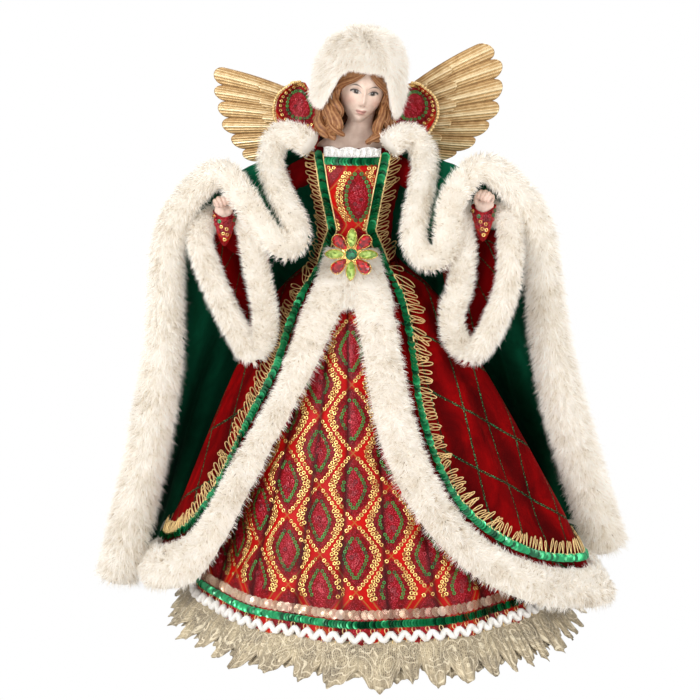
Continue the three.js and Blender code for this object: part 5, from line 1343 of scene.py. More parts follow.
# Skin, blush, lips, lids, eyes and brows as soft-edged spots and arcs over the face's own a and h
def facePaint(a, h, front):
    # A colour laid over another by an amount
    def over(colour, text, amount):
        return mix(colour, np.array(linear(text)[:3]), np.clip(amount, 0, 1)[:, None])

    # 1 within a distance, 0 outside it, with a soft edge
    def inside(distance, soft):
        return smooth(0.5 - distance / soft)

    b = np.abs(a)
    colour = np.tile(np.array(linear(faceColours["skin"])[:3]), (len(a), 1))
    cheeks = 0.42 * spot(b, h, 8.6, -5.6, 3.6, 3.2) + 0.15 * spot(a, h, 0, -7.4, 2.0, 1.6)
    colour = over(colour, faceColours["blush"], cheeks)
    # painted shade in the eye hollows and in the crease under the lower lip
    hollowShade = 0.4 * spot(b, h, 5.5, 2.4, 2.9, 1.3) + 0.3 * spot(a, h, 0, -15.6, 3.0, 0.9)
    colour = over(colour, faceColours["shade"], hollowShade)
    bow = -11.2 - 0.4 * np.clip(1 - b / 1.2, 0, 1) - 0.06 * b
    foot = -14.6 + 0.2 * a ** 2
    lips = inside(np.maximum(np.maximum(h - bow - 0.35, foot - h), (b - 3.3) * 0.7), 0.7)
    colour = over(colour, faceColours["lips"], 0.7 * lips)
    parting = inside(np.abs(h + 12.75 - 0.085 * a ** 2) - 0.12, 0.35) * (b < 3.5)
    colour = over(colour, faceColours["mouth"], 0.6 * parting)
    colour = over(colour, faceColours["nostril"], 0.7 * spot(b, h, 1.2, -8.3, 0.5, 0.32))
    x, z = b - 5.5, h - 0.3 - 0.07 * (b - 5.5)
    lid = 1.35 * (1 - (x / 3.4) ** 2)
    low = -1.1 * (1 - (x / 3.4) ** 2)
    opened = inside(np.maximum(np.maximum(z - lid, low - z), np.abs(x) - 3.4), 0.25)
    colour = over(colour, faceColours["eye"], opened)
    gaze = np.where(a > 0, x + 0.2, x - 0.1)
    iris = np.hypot(gaze, z - 0.05)
    colour = over(colour, faceColours["irisRim"], opened * inside(iris - 1.55, 0.35))
    colour = over(colour, faceColours["iris"], opened * inside(np.abs(iris - 1.1) - 0.2, 0.3) * (z < 0.3))
    colour = over(colour, faceColours["pupil"], opened * inside(iris - 0.6, 0.25))
    colour = over(colour, faceColours["glint"], opened * inside(np.hypot(gaze + 0.4, z - 0.5) - 0.2, 0.25))
    lash = inside(np.abs(z - lid - 0.12) - (0.4 + 0.09 * x), 0.3) * (np.abs(x) < 3.8)
    colour = over(colour, faceColours["lash"], 0.95 * lash)
    lowerLash = inside(np.abs(z - low + 0.05) - 0.08, 0.25) * (np.abs(x) < 2.8)
    colour = over(colour, faceColours["lowerLash"], 0.7 * lowerLash)
    colour = over(colour, faceColours["crease"], 0.65 * inside(np.abs(z - lid - 1.15) - 0.12, 0.35) * (np.abs(x) < 2.8))
    arc = 5.0 - 0.12 * (b - 6.0) ** 2
    out = np.abs(b - 6.0)
    brow = inside(np.abs(h - arc) - 0.46 * (1 - out / 4.8), 0.3) * (out < 4.0)
    colour = over(colour, faceColours["brow"], 0.9 * brow)
    return np.where((front > 0.05)[:, None], colour, np.array(linear(faceColours["skin"])[:3]))


# Bisque porcelain: matte, faintly mottled skin with the painted features lying on it
porcelain, tree, shader, place = newMaterial(
    "painted_bisque_porcelain", Roughness=0.5, Specular_IOR_Level=0.35, Subsurface_Weight=0.08,
    Subsurface_Radius=(0.004, 0.002, 0.0015), Coat_Weight=0.06, Coat_Roughness=0.4)
paint = addNode(tree, "Attribute", settings={"attribute_name": "paint"}, take="Color")
mottle = addNode(tree, "TexNoise", place, Scale=220, Detail=4, Roughness=0.55)
mottle = addNode(tree, "ValToRGB", mottle, stops=[(0.3, "#e9e2dd"), (0.7, "#ffffff")])
pores = addNode(tree, "TexNoise", place, Scale=1600, Detail=3, Roughness=0.55)
feed(shader, Base_Color=addNode(tree, "MixRGB", 1.0, paint, mottle, settings={"blend_type": "MULTIPLY"}),
     Normal=addNode(tree, "Bump", Height=pores, Strength=0.05, Distance=0.0002))
columns, rows = 184, 196
step = np.linspace(-1, 1, columns, endpoint=False)
turns = np.pi * (0.4 * step + 0.6 * step ** 3)
rises = np.linspace(-0.499, 0.499, rows) * np.pi
rr, tt = np.meshgrid(rises, turns, indexing="ij")
facePoints, a, h = faceSurface(tt.ravel(), rr.ravel())
facePaints = facePaint(a, h, (np.cos(tt) * np.cos(rr)).ravel())
faceFaces = cappedFaces(rows, columns)

# Neck and shoulder plate: ellipses from the chest up into the head
plateShares = np.array([[0, 0, 0, 0.98, 0.58], [0, 0, 0.184, 1, 0.6], [0.02, -0.036, 0.352, 0.91, 0.545],
                        [0.036, -0.073, 0.472, 0.69, 0.455], [0.08, -0.109, 0.592, 0.418, 0.364],
                        [0.131, -0.145, 0.712, 0.32, 0.32], [0.24, -0.2, 1, 0.305, 0.305]])
plateCurve = curveThrough(plateShares)
plateRows = along(plateCurve, np.linspace(0, 1, 60))
ringTurn = np.linspace(0, 2 * np.pi, 96, endpoint=False)
plateFoot, neckTop = 311.35, 353.0
x = (plateRows[:, 0, None] + plateRows[:, 3, None] * np.sin(ringTurn)) * 27.5
z = mix(plateFoot, neckTop, plateRows[:, 2])[:, None] + 0 * x
front = np.clip(np.cos(ringTurn), 0, 1)[None]
aside = np.abs(x - 3)
bones = 0.7 * (spot(aside, z, 10, 338.5 + 0.12 * aside, 7, 1.6) - spot(x, z, 3.2, 339.5, 3, 2.4)) * front
y = (plateRows[:, 1, None] - plateRows[:, 4, None] * np.cos(ringTurn)) * 27.5 - bones
platePoints = np.stack([x, y, z], -1).reshape(-1, 3)
headPoints, headFaces = gather([(posed(facePoints), faceFaces), (platePoints, cappedFaces(60, 96))])
skin = np.tile(np.array(linear(faceColours["skin"])[:3]), (len(platePoints), 1))
addPiece("head_and_bust", headPoints, headFaces, porcelain, "porcelain", ["head_bust"],
         values={"paint": np.concatenate([facePaints, skin])})


# Hair: moulded auburn locks from a middle parting, waving out at the shoulders
# Painted moulded hair: matte, with painted shade in the grooves between strands and a painted highlight on their crests
hairPaint, tree, shader, place = newMaterial("painted_auburn_hair", Roughness=0.55, Specular_IOR_Level=0.4)
crest = addNode(tree, "Attribute", settings={"attribute_name": "crest"}, take="Fac")
fine = addNode(tree, "TexNoise", place, Scale=420, Detail=5, Roughness=0.6)
feed(shader, Base_Color=addNode(tree, "ValToRGB", addNode(tree, "Math MULTIPLY_ADD", fine, 0.5, crest), stops=[
    (0.15, "#3c200e"), (0.42, "#7c4b2b"), (0.7, "#ad7c50"), (1.0, "#d2ab84")]),
     Normal=addNode(tree, "Bump", Height=fine, Strength=0.25, Distance=0.0004))
hairLook = {"locks": 24, "high": 18.2, "low": -30.5, "thickness": (2.8, 3.5), "flare": {-1: 9.5, 1: 4.0}}
partingZ = [-32.0, -24.0, -16.0, -8.0, 1.0, 5.0, 8.0, 12.0, 18.0]
partingTurn = [30.0, 33.0, 46.0, 66.0, 74.0, 57.0, 36.0, 16.0, 3.0]


# One lock down the side of the head: it waves from side to side and its tip curls inwards
def lock(side, spread, high, low, out, phase, radius, flare):
    s = np.linspace(0, 1, 34)
    z = mix(high, low, s)
    fan = spread * mix(0.3, 1.0, smooth((high - z) / 14))
    turn = np.radians(side * (np.interp(z, partingZ, partingTurn) + fan + 8 * smooth((s - 0.82) * 5))
                      + 11 * np.sin(s * 17 + phase) * smooth(s * 1.4 - 0.2))
    crown = np.sqrt(1 - np.clip(z / 24.2, 0, 0.999) ** 2)
    away = (out + 2.9 * np.sin(s * 15.5 + phase * 1.7) * smooth(s * 1.4 - 0.15) + flare * smooth((s - 0.35) * 1.9)
            - 3.4 * smooth((s - 0.86) * 7))
    route = np.stack([(15 * crown + away) * np.sin(turn), -(17 * crown + away) * np.cos(turn),
                      z + 2.2 * smooth((s - 0.88) * 8)], 1)
    wide = radius * (0.6 + 0.4 * smooth(s * 2.2)) * np.sqrt(np.clip(1 - ((s - 0.5) * 2) ** 10, 0.05, 1))
    points, faces = tubeMesh(route, wide, 18, flatten=0.62)
    angle = np.tile(np.linspace(0, 2 * np.pi, 18, endpoint=False), len(route))
    # painted shade in the grooves and a painted highlight on the crests of the lock's ridges
    ridge = np.cos(angle * 6 + np.repeat(s, 18) * 9)
    middle = np.repeat(route, 18, 0)
    return (middle + (points - middle) * (1 + 0.11 * ridge)[:, None], faces), 0.3 + 0.2 * ridge


# An ellipse round the skull from the parting on one side to the other, grooved by a fine sine
def hairCap(u, v):
    z = mix(14, -27, v)
    parted = np.radians(np.interp(z, partingZ, partingTurn) + 8)
    turn = mix(parted, 2 * np.pi - parted, u)
    crown = np.sqrt(1 - (np.clip(z, 0, 99) / 24.2) ** 2)
    spread = smooth((z / -30 - 0.55) / 0.45) * np.where(np.sin(turn) > 0, 1.0, 5.0) * np.abs(np.sin(turn))
    out = 2.0 + spread + 0.35 * np.sin(turn * 70)
    return np.stack([(15 * crown + out) * np.sin(turn), -(17 * crown + out) * np.cos(turn), z], -1)


capPoints, capFaces, _ = closedSheet(hairCap, 1.2, 24, 200)
# the cap under the locks takes the dark groove colour: painted shade between the locks
parts, crests = [(capPoints, capFaces)], [np.full(len(capPoints), 0.12)]
for side in (-1, 1):
    for k in range(hairLook["locks"]):
        layer = k % 2
        spread = 4.6 * k - 2
        low = hairLook["low"] - 2.5 * layer + rng.uniform(-2.5, 1.5)
        part, crest = lock(side, spread, hairLook["high"] - 0.1 * k, low, 1.4 + 1.1 * layer, rng.uniform(0, 6),
                           rng.uniform(*hairLook["thickness"]), hairLook["flare"][side] * (1 - spread / 150))
        parts.append(part)
        crests.append(crest)
hairPoints, hairFaces = gather(parts)
addPiece("hair_locks", posed(hairPoints), hairFaces, hairPaint, "hair", ["hair"],
         values={"crest": np.concatenate(crests)})
print("head made")

# Hat: a fur hood whose lower edge rises over the face
hat = {"girth": 29.3, "tall": 35.5, "middle": 4.5, "brow": 19.0, "nape": -9.5, "strands": 51000, "rimStrands": 9000,
       "pile": 5.4, "rimPile": 3.8}


# A dome from its edge, which rises over the face, to its top; its girth is a power of the cosine, with lumps
def hatSurface(inset):
    def surface(u, v):
        turn = u * 2 * np.pi - np.pi
        near = 1 - smooth((np.abs(turn) - math.radians(23)) / math.radians(41))
        edge = mix(hat["nape"] - 4 * np.abs(np.sin(turn / 2)), hat["brow"], near)
        low = np.arcsin((edge - hat["middle"]) / hat["tall"])
        rise = mix(low, np.pi / 2 - math.radians(1.2), v)
        belly = np.where(rise < 0, 1, np.cos(rise) ** 0.62)
        girth = mix(belly, np.cos(rise) ** 0.8, 0.35)
        lumps = 0.8 * np.sin(turn * 5 + rise * 4) * np.sin(rise * 7 + turn * 2) * np.cos(rise)
        wide = (hat["girth"] - inset + lumps) * girth
        return np.stack([wide * np.sin(turn) - 2.2 * mix(1, 0.4, v), 1.0 - wide * np.cos(turn),
                         hat["middle"] + (hat["tall"] - inset) * np.sin(rise)], -1)
    return surface


outerPoints, _, _ = sheetPoints(hatSurface(1.5), 40, 120, True)
innerPoints, _, _ = sheetPoints(hatSurface(4.6), 40, 120, True)
face = gridFaces(40, 120, True)
ring = np.arange(120)
rim = np.stack([ring, (ring + 1) % 120, (ring + 1) % 120 + 4800, ring + 4800], 1)
hatFaces = [face, face[:, ::-1] + 4800, rim[:, ::-1], rim + 39 * 120]
count, rimCount = hat["strands"], hat["rimStrands"]
v = np.clip(rng.beta(1.0, 1.5, count), 0, 0.985)
u = rng.uniform(0, 1, count)
u[:rimCount], v[:rimCount] = rng.uniform(0.28, 0.72, rimCount), rng.uniform(0, 0.05, rimCount)
place = hatSurface(1.6)
roots, side = place(u, v), place(u + 0.002, v) - place(u - 0.002, v)
up = place(u, np.minimum(v + 0.01, 0.99)) - place(u, np.maximum(v - 0.01, 0))
normals = unit(np.cross(side, up))
normals = np.where(np.sum(normals * (roots - [-2, 1, 4]), 1, keepdims=True) < 0, -normals, normals)
rimward = smooth((0.06 - v) / 0.06)[:, None]
normals = unit(normals - unit(up) * rimward * 1.1)
swirl = unit(side) * np.sin(roots[:, 2:3] * 0.21 + roots[:, :1] * 0.17)
flow = unit(-unit(up) + 0.7 * swirl)
length = np.where(v < 0.05, hat["rimPile"], hat["pile"])
hair = strands(roots, normals, flow, length, clump=16, lean=0.8)
base = (np.concatenate([outerPoints, innerPoints]), hatFaces)
hatBackingShade = np.full(len(base[0]), 0.62)
furPiece("hat_fur", (posed(base[0]), base[1]), hatBackingShade, (posed(hair[0]), hair[1], hair[2]), ["hat"])
print("hat made")

# Yoke of fur under the brooch, where the coat's two edges meet
yoke = {"high": 261.0, "low": 228.0, "strands": 13000, "pile": 4.4}


# A pad on the bodice and the coat: rounded off in both directions by roots of 1 less a power
def yokeSurface(lift):
    def surface(u, v):
        w, t = u * 2 - 1, v * 2 - 1
        z = mix(yoke["high"], yoke["low"], v)
        half = mix(15.5, 27.0, v)
        body = np.where(z > 250, bodiceHalf(z, 0)[1], coatRadius(0 * z, np.minimum(z, 249)) + 1.2)
        pile = lift * np.sqrt(np.clip(1 - w * w * 0.9, 0.05, 1)) * np.sqrt(np.clip(1 - t ** 4 * 0.8, 0.1, 1))
        x = w * half
        depth = (body + pile) * np.sqrt(np.clip(1 - (x / (body + 12)) ** 2, 0.2, 1))
        return np.stack([axisX(z) + x, -depth, z], -1)
    return surface


yokePoints, yokeFaces, _ = closedSheet(yokeSurface(5.0), 2.0, 16, 30)
count = yoke["strands"]
u, v = rng.uniform(0.01, 0.99, count), rng.uniform(0, 1, count)
roots = yokeSurface(7.2)(u, v)
normals = unit(np.stack([(u - 0.5) * 1.5, -np.ones(count), 0.5 - v], 1))
yokeFlow = np.stack([(u - 0.5) * 1.6, -0.4 + 0 * u, -0.6 + 0 * u], 1)
hair = strands(roots, normals, unit(yokeFlow), yoke["pile"], lean=0.35, spread=0.32)
furPiece("waist_fur", (yokePoints, yokeFaces), np.full(len(yokePoints), 0.5), hair, ())

# Padding: stuffed linen under the bodice and along each arm, the arms covered in velvet
armShares = [[0.0823, 0, 0.758], [0.122, -0.006, 0.73], [0.142, -0.02, 0.684], [0.162, -0.045, 0.652],
             [0.182, -0.07, 0.65]]
handPlaces = {"left": fromShares([-0.199, -0.089, 0.716]), "right": fromShares([0.212, -0.089, 0.73])}
levels = np.linspace(0, 1, 24)
z = mix(251.0, 311.0, levels)[:, None]
turn = np.linspace(0, 2 * np.pi, 48, endpoint=False)[None]
wide, deep = bodiceHalf(z, -3)
rings = np.stack([axisX(z) + wide * np.sin(turn), -deep * np.cos(turn), z + 0 * turn], -1).reshape(-1, 3)
stuffing = makeVelvet("stuffed_linen", "#b9b09e", "#dcd4c5", "#efe9de")
torso = addPiece("torso_stuffed", rings, cappedFaces(24, 48), stuffing, "linen", ["torso_form"])
for side in ("left", "right"):
    mirror = -1 if side == "left" else 1
    route = np.concatenate([fromShares(armShares, mirror), [handPlaces[side] + [0, 2.95, -14.15]]])
    curve = curveThrough(route)
    share = np.linspace(0, 1, 70)
    points, faces = tubeMesh(along(curve, share), 5.3 + 0.12 * np.sin(share * 90), 20)
    padding = addPiece(f"arm_padding_stuffed_{side}", points, faces, stuffing, "linen", [f"arm_padding_{side}"])
    inner = np.concatenate([[route[0] + [-6 * mirror, 0, 3]], along(curve, np.linspace(0.04, 0.97, 60))])
    step = np.arange(61)
    wrinkle = 6.7 + 0.5 * np.sin(step * 1.1) * np.sin(step * 0.37) + 1.8 * smooth(1 - step / 16)
    addPiece(f"arm_velvet_{side}", *tubeMesh(inner, wrinkle, 24), plainVelvet, "burgundy_velvet")


# Stand-up collars: red satin with a rounded green oval of rings, beads along the outer edge
def knotPoint(curve, share):
    dense = curve[0]
    at = np.clip(share, 0, 1) * (len(dense) - 1)
    return np.stack([np.interp(at, np.arange(len(dense)), dense[:, k]) for k in range(3)], -1)


collar = {"outer": [[-0.09, -0.036, 0.806], [-0.116, 0.004, 0.822], [-0.13, 0.02, 0.85], [-0.124, 0.022, 0.878],
                    [-0.1, 0.02, 0.899]],
          "inner": [[-0.058, -0.046, 0.802], [-0.052, -0.022, 0.826], [-0.056, -0.002, 0.848],
                    [-0.066, 0.012, 0.872], [-0.082, 0.02, 0.899]],
          "wide": 24, "tall": 38, "roll": 5, "bead": 1.12, "beads": 24}
ballTurn, ballRise = np.meshgrid(np.linspace(0, 2 * np.pi, 8, endpoint=False), np.linspace(-0.42, 0.42, 5) * np.pi)
ballPoints = np.stack([np.cos(ballTurn) * np.cos(ballRise), np.sin(ballTurn) * np.cos(ballRise),
                       np.sin(ballRise)], -1).reshape(-1, 3)


# A superellipse as rows of places at one pitch
def ovalRow(x, z, wide, tall, power=2.6, pitch=2.6):
    turn = np.linspace(0, 2 * np.pi, 200)
    c, s = np.cos(turn), np.sin(turn)
    x, z = [at + half * np.sign(k) * np.abs(k) ** (2 / power) for at, half, k in ((x, wide, c), (z, tall, s))]
    return spaced(x, z, pitch)


for side in ("left", "right"):
    mirror = 1 if side == "left" else -1
    outerCurve, innerCurve = [curveThrough(fromShares(collar[edge], mirror)) for edge in ("outer", "inner")]
    seat = 1.1 if side == "left" else -0.25

    # Straight lines from the inner to the outer curve, rolled back by a sine
    def collarSurface(u, v, extra=0.0):
        at = mix(knotPoint(innerCurve, v), knotPoint(outerCurve, v), np.asarray(u)[..., None])
        roll = collar["roll"] * np.sin(np.pi * u) - seat * (1 - v) + extra + 0.25 * np.sin(v * 21) * np.sin(np.pi * u)
        return at + np.stack([0 * roll, roll, 0 * roll], -1)

    # Where a point of the flat collar pattern lies on the collar
    def collarFlat(x, z):
        u = 1 - x / collar["wide"] if side == "left" else x / collar["wide"]
        return collarSurface(u, z / collar["tall"], -0.2)

    front, u, v = sheetPoints(collarSurface, 30, 26)
    turned = [f if side == "right" else f[:, ::-1] for f in shellFaces(30, 26)]
    collarUv = np.stack([u * collar["wide"] - 11.5 + lattice["middle"],
                         v * collar["tall"] - 24.5 + lattice["start"]], 1)
    addPiece(f"collar_satin_{side}", np.concatenate([front, collarSurface(u, v, 1.6)]), turned, latticeSatin,
             "brocade", [f"collar_{side}"], np.tile(collarUv, (2, 1)))
    middle = 13.0 if side == "left" else 12.0
    green = [ovalRow(middle, 24.5, 7.0, 8.0, pitch=2.1)]
    red = [ovalRow(middle, 24.5, 2.6, 3.0, pitch=4.2)]
    gold = [ovalRow(middle, 24.5, 10.6, 12.0, pitch=2.5), spaced([2, 10, 22], [36.6, 37, 36.6], 2.5)]
    gold += [spaced([3, 8, 14, 21], [3 + k, 8 + k, 9 + k, 6 + k], 2.6) for k in (0, 2.4)]
    for tag, rows, foil in (("green", green, oliveSequin), ("red", red, redSequin), ("gold", gold, goldSequin)):
        sequinPiece(f"collar_{tag}_sequins_{side}", np.concatenate(rows), collarFlat,
                    lambda x, z: (x > 0.9) & (x < 23.1) & (z > 1) & (z < 37.5), foil, "brocade", lambda x, z: x,
                    smallRing, 0.35, 0.85)
    beadShare = np.linspace(0.05, 1.0, collar["beads"])
    beadPlace = knotPoint(outerCurve, beadShare) + [-1.5 * mirror, -0.5, 0]
    crossing = knotPoint(innerCurve, np.array([0.99])) * 0.65 + knotPoint(outerCurve, np.array([0.99])) * 0.35
    inwards = mix(beadPlace[-1:], crossing + [0, 3, 1.2], np.linspace(0.16, 0.8, 4)[:, None])
    beadPlace = np.concatenate([beadPlace, inwards])
    size = collar["bead"] * rng.uniform(0.9, 1.08, len(beadPlace))
    upright = np.broadcast_to(np.eye(3), (len(beadPlace), 3, 3))
    beads = scatter(ballPoints, cappedFaces(5, 8), beadPlace, upright, size)
    thread = tubeMesh(beadPlace, 0.35, 6)
    addPiece(f"collar_beads_{side}", *gather([beads, thread]), goldThread, "gold_braid", [f"collar_beads_{side}"])

    # Cuff: a pointed sleeve end round the wrist
    centre = handPlaces[side]

    # A ring round the wrist whose lower edge runs out in a point in front, by a power of the cosine
    def cuffSurface(u, v):
        turn = u * 2 * np.pi
        tip = 17 * np.clip(np.cos(turn), 0, 1) ** 2.2
        z = mix(-3.5 - 3.4 * np.clip(np.cos(turn), 0, 1) ** 3, -9 - tip, v)
        radius = 7.3 + 0.15 * np.sin(v * 17 + turn) + 0.8 * (1 - v)
        return np.stack([radius * np.sin(turn), -radius * np.cos(turn), z], -1) + centre

    cuffPoints, cuffFaces, cuffUv = closedSheet(cuffSurface, 0.8, 26, 64, wrap=True)
    outer, inner = cuffPoints[:1664], cuffPoints[1664:]
    if np.linalg.norm((outer - centre)[:, :2], axis=1).mean() < np.linalg.norm((inner - centre)[:, :2], axis=1).mean():
        cuffPoints = np.concatenate([outer, 2 * outer - inner])  # the thickness goes inwards
        cuffFaces = [f[:, ::-1] for f in cuffFaces]
    addPiece(f"cuff_satin_{side}", cuffPoints, cuffFaces, latticeSatin, "brocade", [f"cuff_{side}"], cuffUv * [46, 22])

    # A flat pattern wrapped round a cylinder of 8 mm
    def cuffFlat(x, z):
        turn = x / 7.6
        return np.stack([8.0 * np.sin(turn), -8.0 * np.cos(turn), z], -1) + centre

    spots = {"gold": [(-1.5, -13), (1.6, -14.5), (-0.4, -17.5), (2.0, -18.2), (0.4, -21.4), (-6.8, -6.6)],
             "green": [(5.2, -6.5), (6.4, -9), (-2.6, -9.5), (7.8, -6)],
             "red": [(x, z) for z in (-7.0, -9.4, -11.8, -14.2, -16.6, -19.0) for x in np.arange(-9, 9.1, 2.6)
                     if abs(x) < 10 + (z + 6) * 0.55]}
    for tag, foil in (("gold", goldSequin), ("green", greenSequin), ("red", redSequin)):
        rows = np.array([[x, z, 0, 1.0] for x, z in spots[tag]])
        sequinPiece(f"cuff_{tag}_sequins_{side}", rows, cuffFlat,
                    lambda x, z: z < -5 - 3.4 * np.clip(np.cos(x / 7.6), 0, 1) ** 3, foil, "brocade",
                    lambda x, z: x, smallRing, 0.3 if tag == "red" else 0.6)
print("collars and cuffs made")

# Hands: rounded parts blended into one porcelain casting
hand = {"pitch": 2.55, "finger": 1.62, "thumb": 1.9, "voxel": 0.32, "rounds": 6}


# Closed parts joined by a fine remesh and smoothed; returns points and faces
def blended(parts, voxel, rounds):
    points, faces = gather(parts)
    mesh = bpy.data.meshes.new("blend")
    mesh.from_pydata(points.tolist(), [], [face.tolist() for group in faces for face in group])
    holder = bpy.data.objects.new("blend", mesh)
    bpy.context.scene.collection.objects.link(holder)
    remesh = holder.modifiers.new("remesh", "REMESH")
    remesh.mode, remesh.voxel_size = "VOXEL", voxel
    soften = holder.modifiers.new("soften", "SMOOTH")
    soften.factor, soften.iterations = 0.5, rounds
    whole = holder.evaluated_get(bpy.context.evaluated_depsgraph_get()).to_mesh()
    out = np.array([vertex.co[:] for vertex in whole.vertices])
    quads = np.array([polygon.vertices[:] for polygon in whole.polygons])
    bpy.data.objects.remove(holder)
    bpy.data.meshes.remove(mesh)
    return out, [quads]


# A tube along a curve through the points, tapered and closed by a root of 1 less the eighth power
def capsule(points, radius, taper=0.75, steps=22, sides=14):
    curve = curveThrough(points)
    share = np.linspace(0, 1, steps)
    route = along(curve, share)
    wide = radius * mix(1, taper, share) * np.sqrt(np.clip(1 - (2 * share - 1) ** 8, 0.04, 1))
    return tubeMesh(route, wide, sides)


# A sphere stretched to three radii
def ovoid(centre, radii):
    turn, rise = np.meshgrid(np.linspace(0, 2 * np.pi, 24, endpoint=False), np.linspace(-0.49, 0.49, 15) * np.pi)
    points = np.stack([np.cos(turn) * np.cos(rise), np.sin(turn) * np.cos(rise), np.sin(rise)], -1).reshape(-1, 3)
    return points * radii + centre, cappedFaces(15, 24)


for side, s in (("left", -1), ("right", 1)):
    parts = [ovoid([0, 0.4, -0.3], [5.4, 3.6, 6.2]), ovoid([-s * 3.2, -1.6, -1.8], [2.6, 2.4, 4.2])]
    for k in range(4):
        x = (k - 1.5) * hand["pitch"]
        long = 1 - 0.09 * abs(k - 1.3)
        finger = np.array([[0.86 * x, -0.6, 3.4], [x, -3.8, 8.2 * long], [1.02 * x, -7.2, 7.9 * long],
                           [0.95 * x, -8.2, 4.0], [0.85 * x, -6.2, 2.0]])
        parts.append(capsule(finger, hand["finger"] - 0.08 * abs(k - 1.5), 0.78))
    thumb = np.array([[-s * 3.2, -1.0, -2.5], [-s * 5.9, -3.4, 0.6], [-s * 5.6, -6.0, 4.2], [-s * 4.4, -7.4, 6.4]])
    parts.append(capsule(thumb, hand["thumb"], 0.74))
    parts.append(capsule(np.array([[0, 0.5, -2.0], [0, 1.0, -7.0], [0, 1.2, -12.5]]), 3.7, 1.0))
    points, faces = blended(parts, hand["voxel"], hand["rounds"])
    spin = turnAbout((1, 0, 0), -8.6) @ turnAbout((0, 1, 0), s * 20) @ turnAbout((0, 0, 1), -s * 20)
    tips = 0.35 * spot(points[:, 1], points[:, 2], -8, 4, 2.4, 2.4)[:, None]
    paint = mix(np.array(linear("#e8d0c2")[:3]), np.array(linear("#dba998")[:3]), tips)
    points = points @ spin.T + handPlaces[side] + [s * 1.4, -2.4, -3.4]
    addPiece(f"hand_casting_{side}", points, faces, porcelain, "porcelain", [f"hand_{side}"], values={"paint": paint})
print("hands made")

# Wings: cast feathers fanning from the root, in three overlapping rows, with an antique gold finish
# Antique gold leaf over a cast relief: brown wash in the grooves, dull gold on the crests
antiqueGold, tree, shader, place = newMaterial("antique_gold_casting", Metallic=0.5)
crest = addNode(tree, "Attribute", settings={"attribute_name": "crest"}, take="Fac")
grain = addNode(tree, "TexNoise", place, Scale=260, Detail=5, Roughness=0.65)
tone = addNode(tree, "Math MULTIPLY_ADD", grain, 0.5, crest)
feed(shader, Base_Color=addNode(tree, "ValToRGB", tone, stops=[
    (0.2, "#49331c"), (0.42, "#8a6740"), (0.66, "#bb9764"), (0.95, "#e6cfa4")]),
     Roughness=addNode(tree, "ValToRGB", tone, stops=[(0.25, 0.75), (0.9, 0.36)]),
     Normal=addNode(tree, "Bump", Height=grain, Strength=0.35, Distance=0.0005))
wingRoots = {"right": fromShares([[0.052, 0, 0.868], [0.05, 0, 0.795]]),
             "left": fromShares([[-0.052, 0, 0.858], [-0.05, 0, 0.79]])}
wingTips = {"right": fromShares([[0.205, 0, 0.966], [0.232, 0, 0.935], [0.236, 0, 0.895], [0.23, 0, 0.85],
                                 [0.208, 0, 0.815], [0.178, 0, 0.785], [0.12, 0, 0.76]]),
            "left": fromShares([[-0.238, 0, 0.922], [-0.24, 0, 0.886], [-0.234, 0, 0.854], [-0.226, 0, 0.82],
                                [-0.206, 0, 0.788], [-0.182, 0, 0.762], [-0.13, 0, 0.745]])}
wings = {"quill": 0.45, "barbs": 0.2, "droop": 8, "back": 25.6 + 1.7,  # each row: feathers, reach, lift, notch, grid
         "rows": ((7, 1.0, 0.0, 0.1, 300, 54), (6, 0.6, 1.3, 0.34, 220, 32), (5, 0.36, 2.5, 0.4, 150, 22))}


# One row of feathers: arched across, ridged along, each tip rounded; also how proud each point stands
def featherRow(side, count, reachShare, lift, notch, columns, rows):
    root, tips = wingRoots[side], curveThrough(wingTips[side])

    # Feather by feather: an arch across, a quill down the middle, barbs as a fine cosine, from the root to the tips
    def face(u, v, front):
        feather = (u * count) % 1
        arch = np.sqrt(np.maximum(0, 1 - (2 * feather - 1) ** 2))
        start = mix(root[0], root[1], u[:, None])
        reach = v * reachShare * (1 - notch * (1 - arch) * v ** 3)
        at = mix(start, knotPoint(tips, u), reach[:, None])
        far = v * reachShare
        droop = np.sin(np.pi * far) * wings["droop"] * (u - 0.6) * -0.5
        quill = np.exp(-(((feather - 0.5) / 0.07) ** 2)) * wings["quill"] * (1 - 0.5 * v)
        barbs = wings["barbs"] * np.cos(feather * 2 * np.pi * 6 + v * 5) * np.minimum(1, arch * 1.5) * smooth(v * 5)
        half = mix(3.4, 1.3, far) / 2 + (1.1 * arch * far + quill + barbs if front else 0)
        back = wings["back"] + 8 * far * far * 0.6 - (lift if front else lift - 1.2)
        y = back - half if front else back + (half if lift == 0 else 0)
        crest = 0.2 + 0.28 * arch + 0.9 * quill + 0.55 * barbs
        return np.stack([at[:, 0], y, at[:, 2] + droop], -1), crest

    u = np.linspace(0.0005, 0.9995, columns)
    v = np.linspace(0.02, 1, rows)
    vv, uu = np.meshgrid(v, u, indexing="ij")
    front, crest = face(uu.ravel(), vv.ravel(), True)
    rear, rearCrest = face(uu.ravel(), vv.ravel(), False)
    faces = [f if side == "left" else f[:, ::-1] for f in shellFaces(rows, columns)]
    return np.concatenate([front, rear]), faces, np.concatenate([crest, rearCrest])


for side in ("left", "right"):
    feathers = [featherRow(side, *row) for row in wings["rows"]]
    points, faces = gather([row[:2] for row in feathers])
    crest = np.concatenate([row[2] for row in feathers])
    addPiece(f"wing_casting_{side}", points, faces, antiqueGold, "gold", [f"wing_{side}"], values={"crest": crest})
print("wings made")


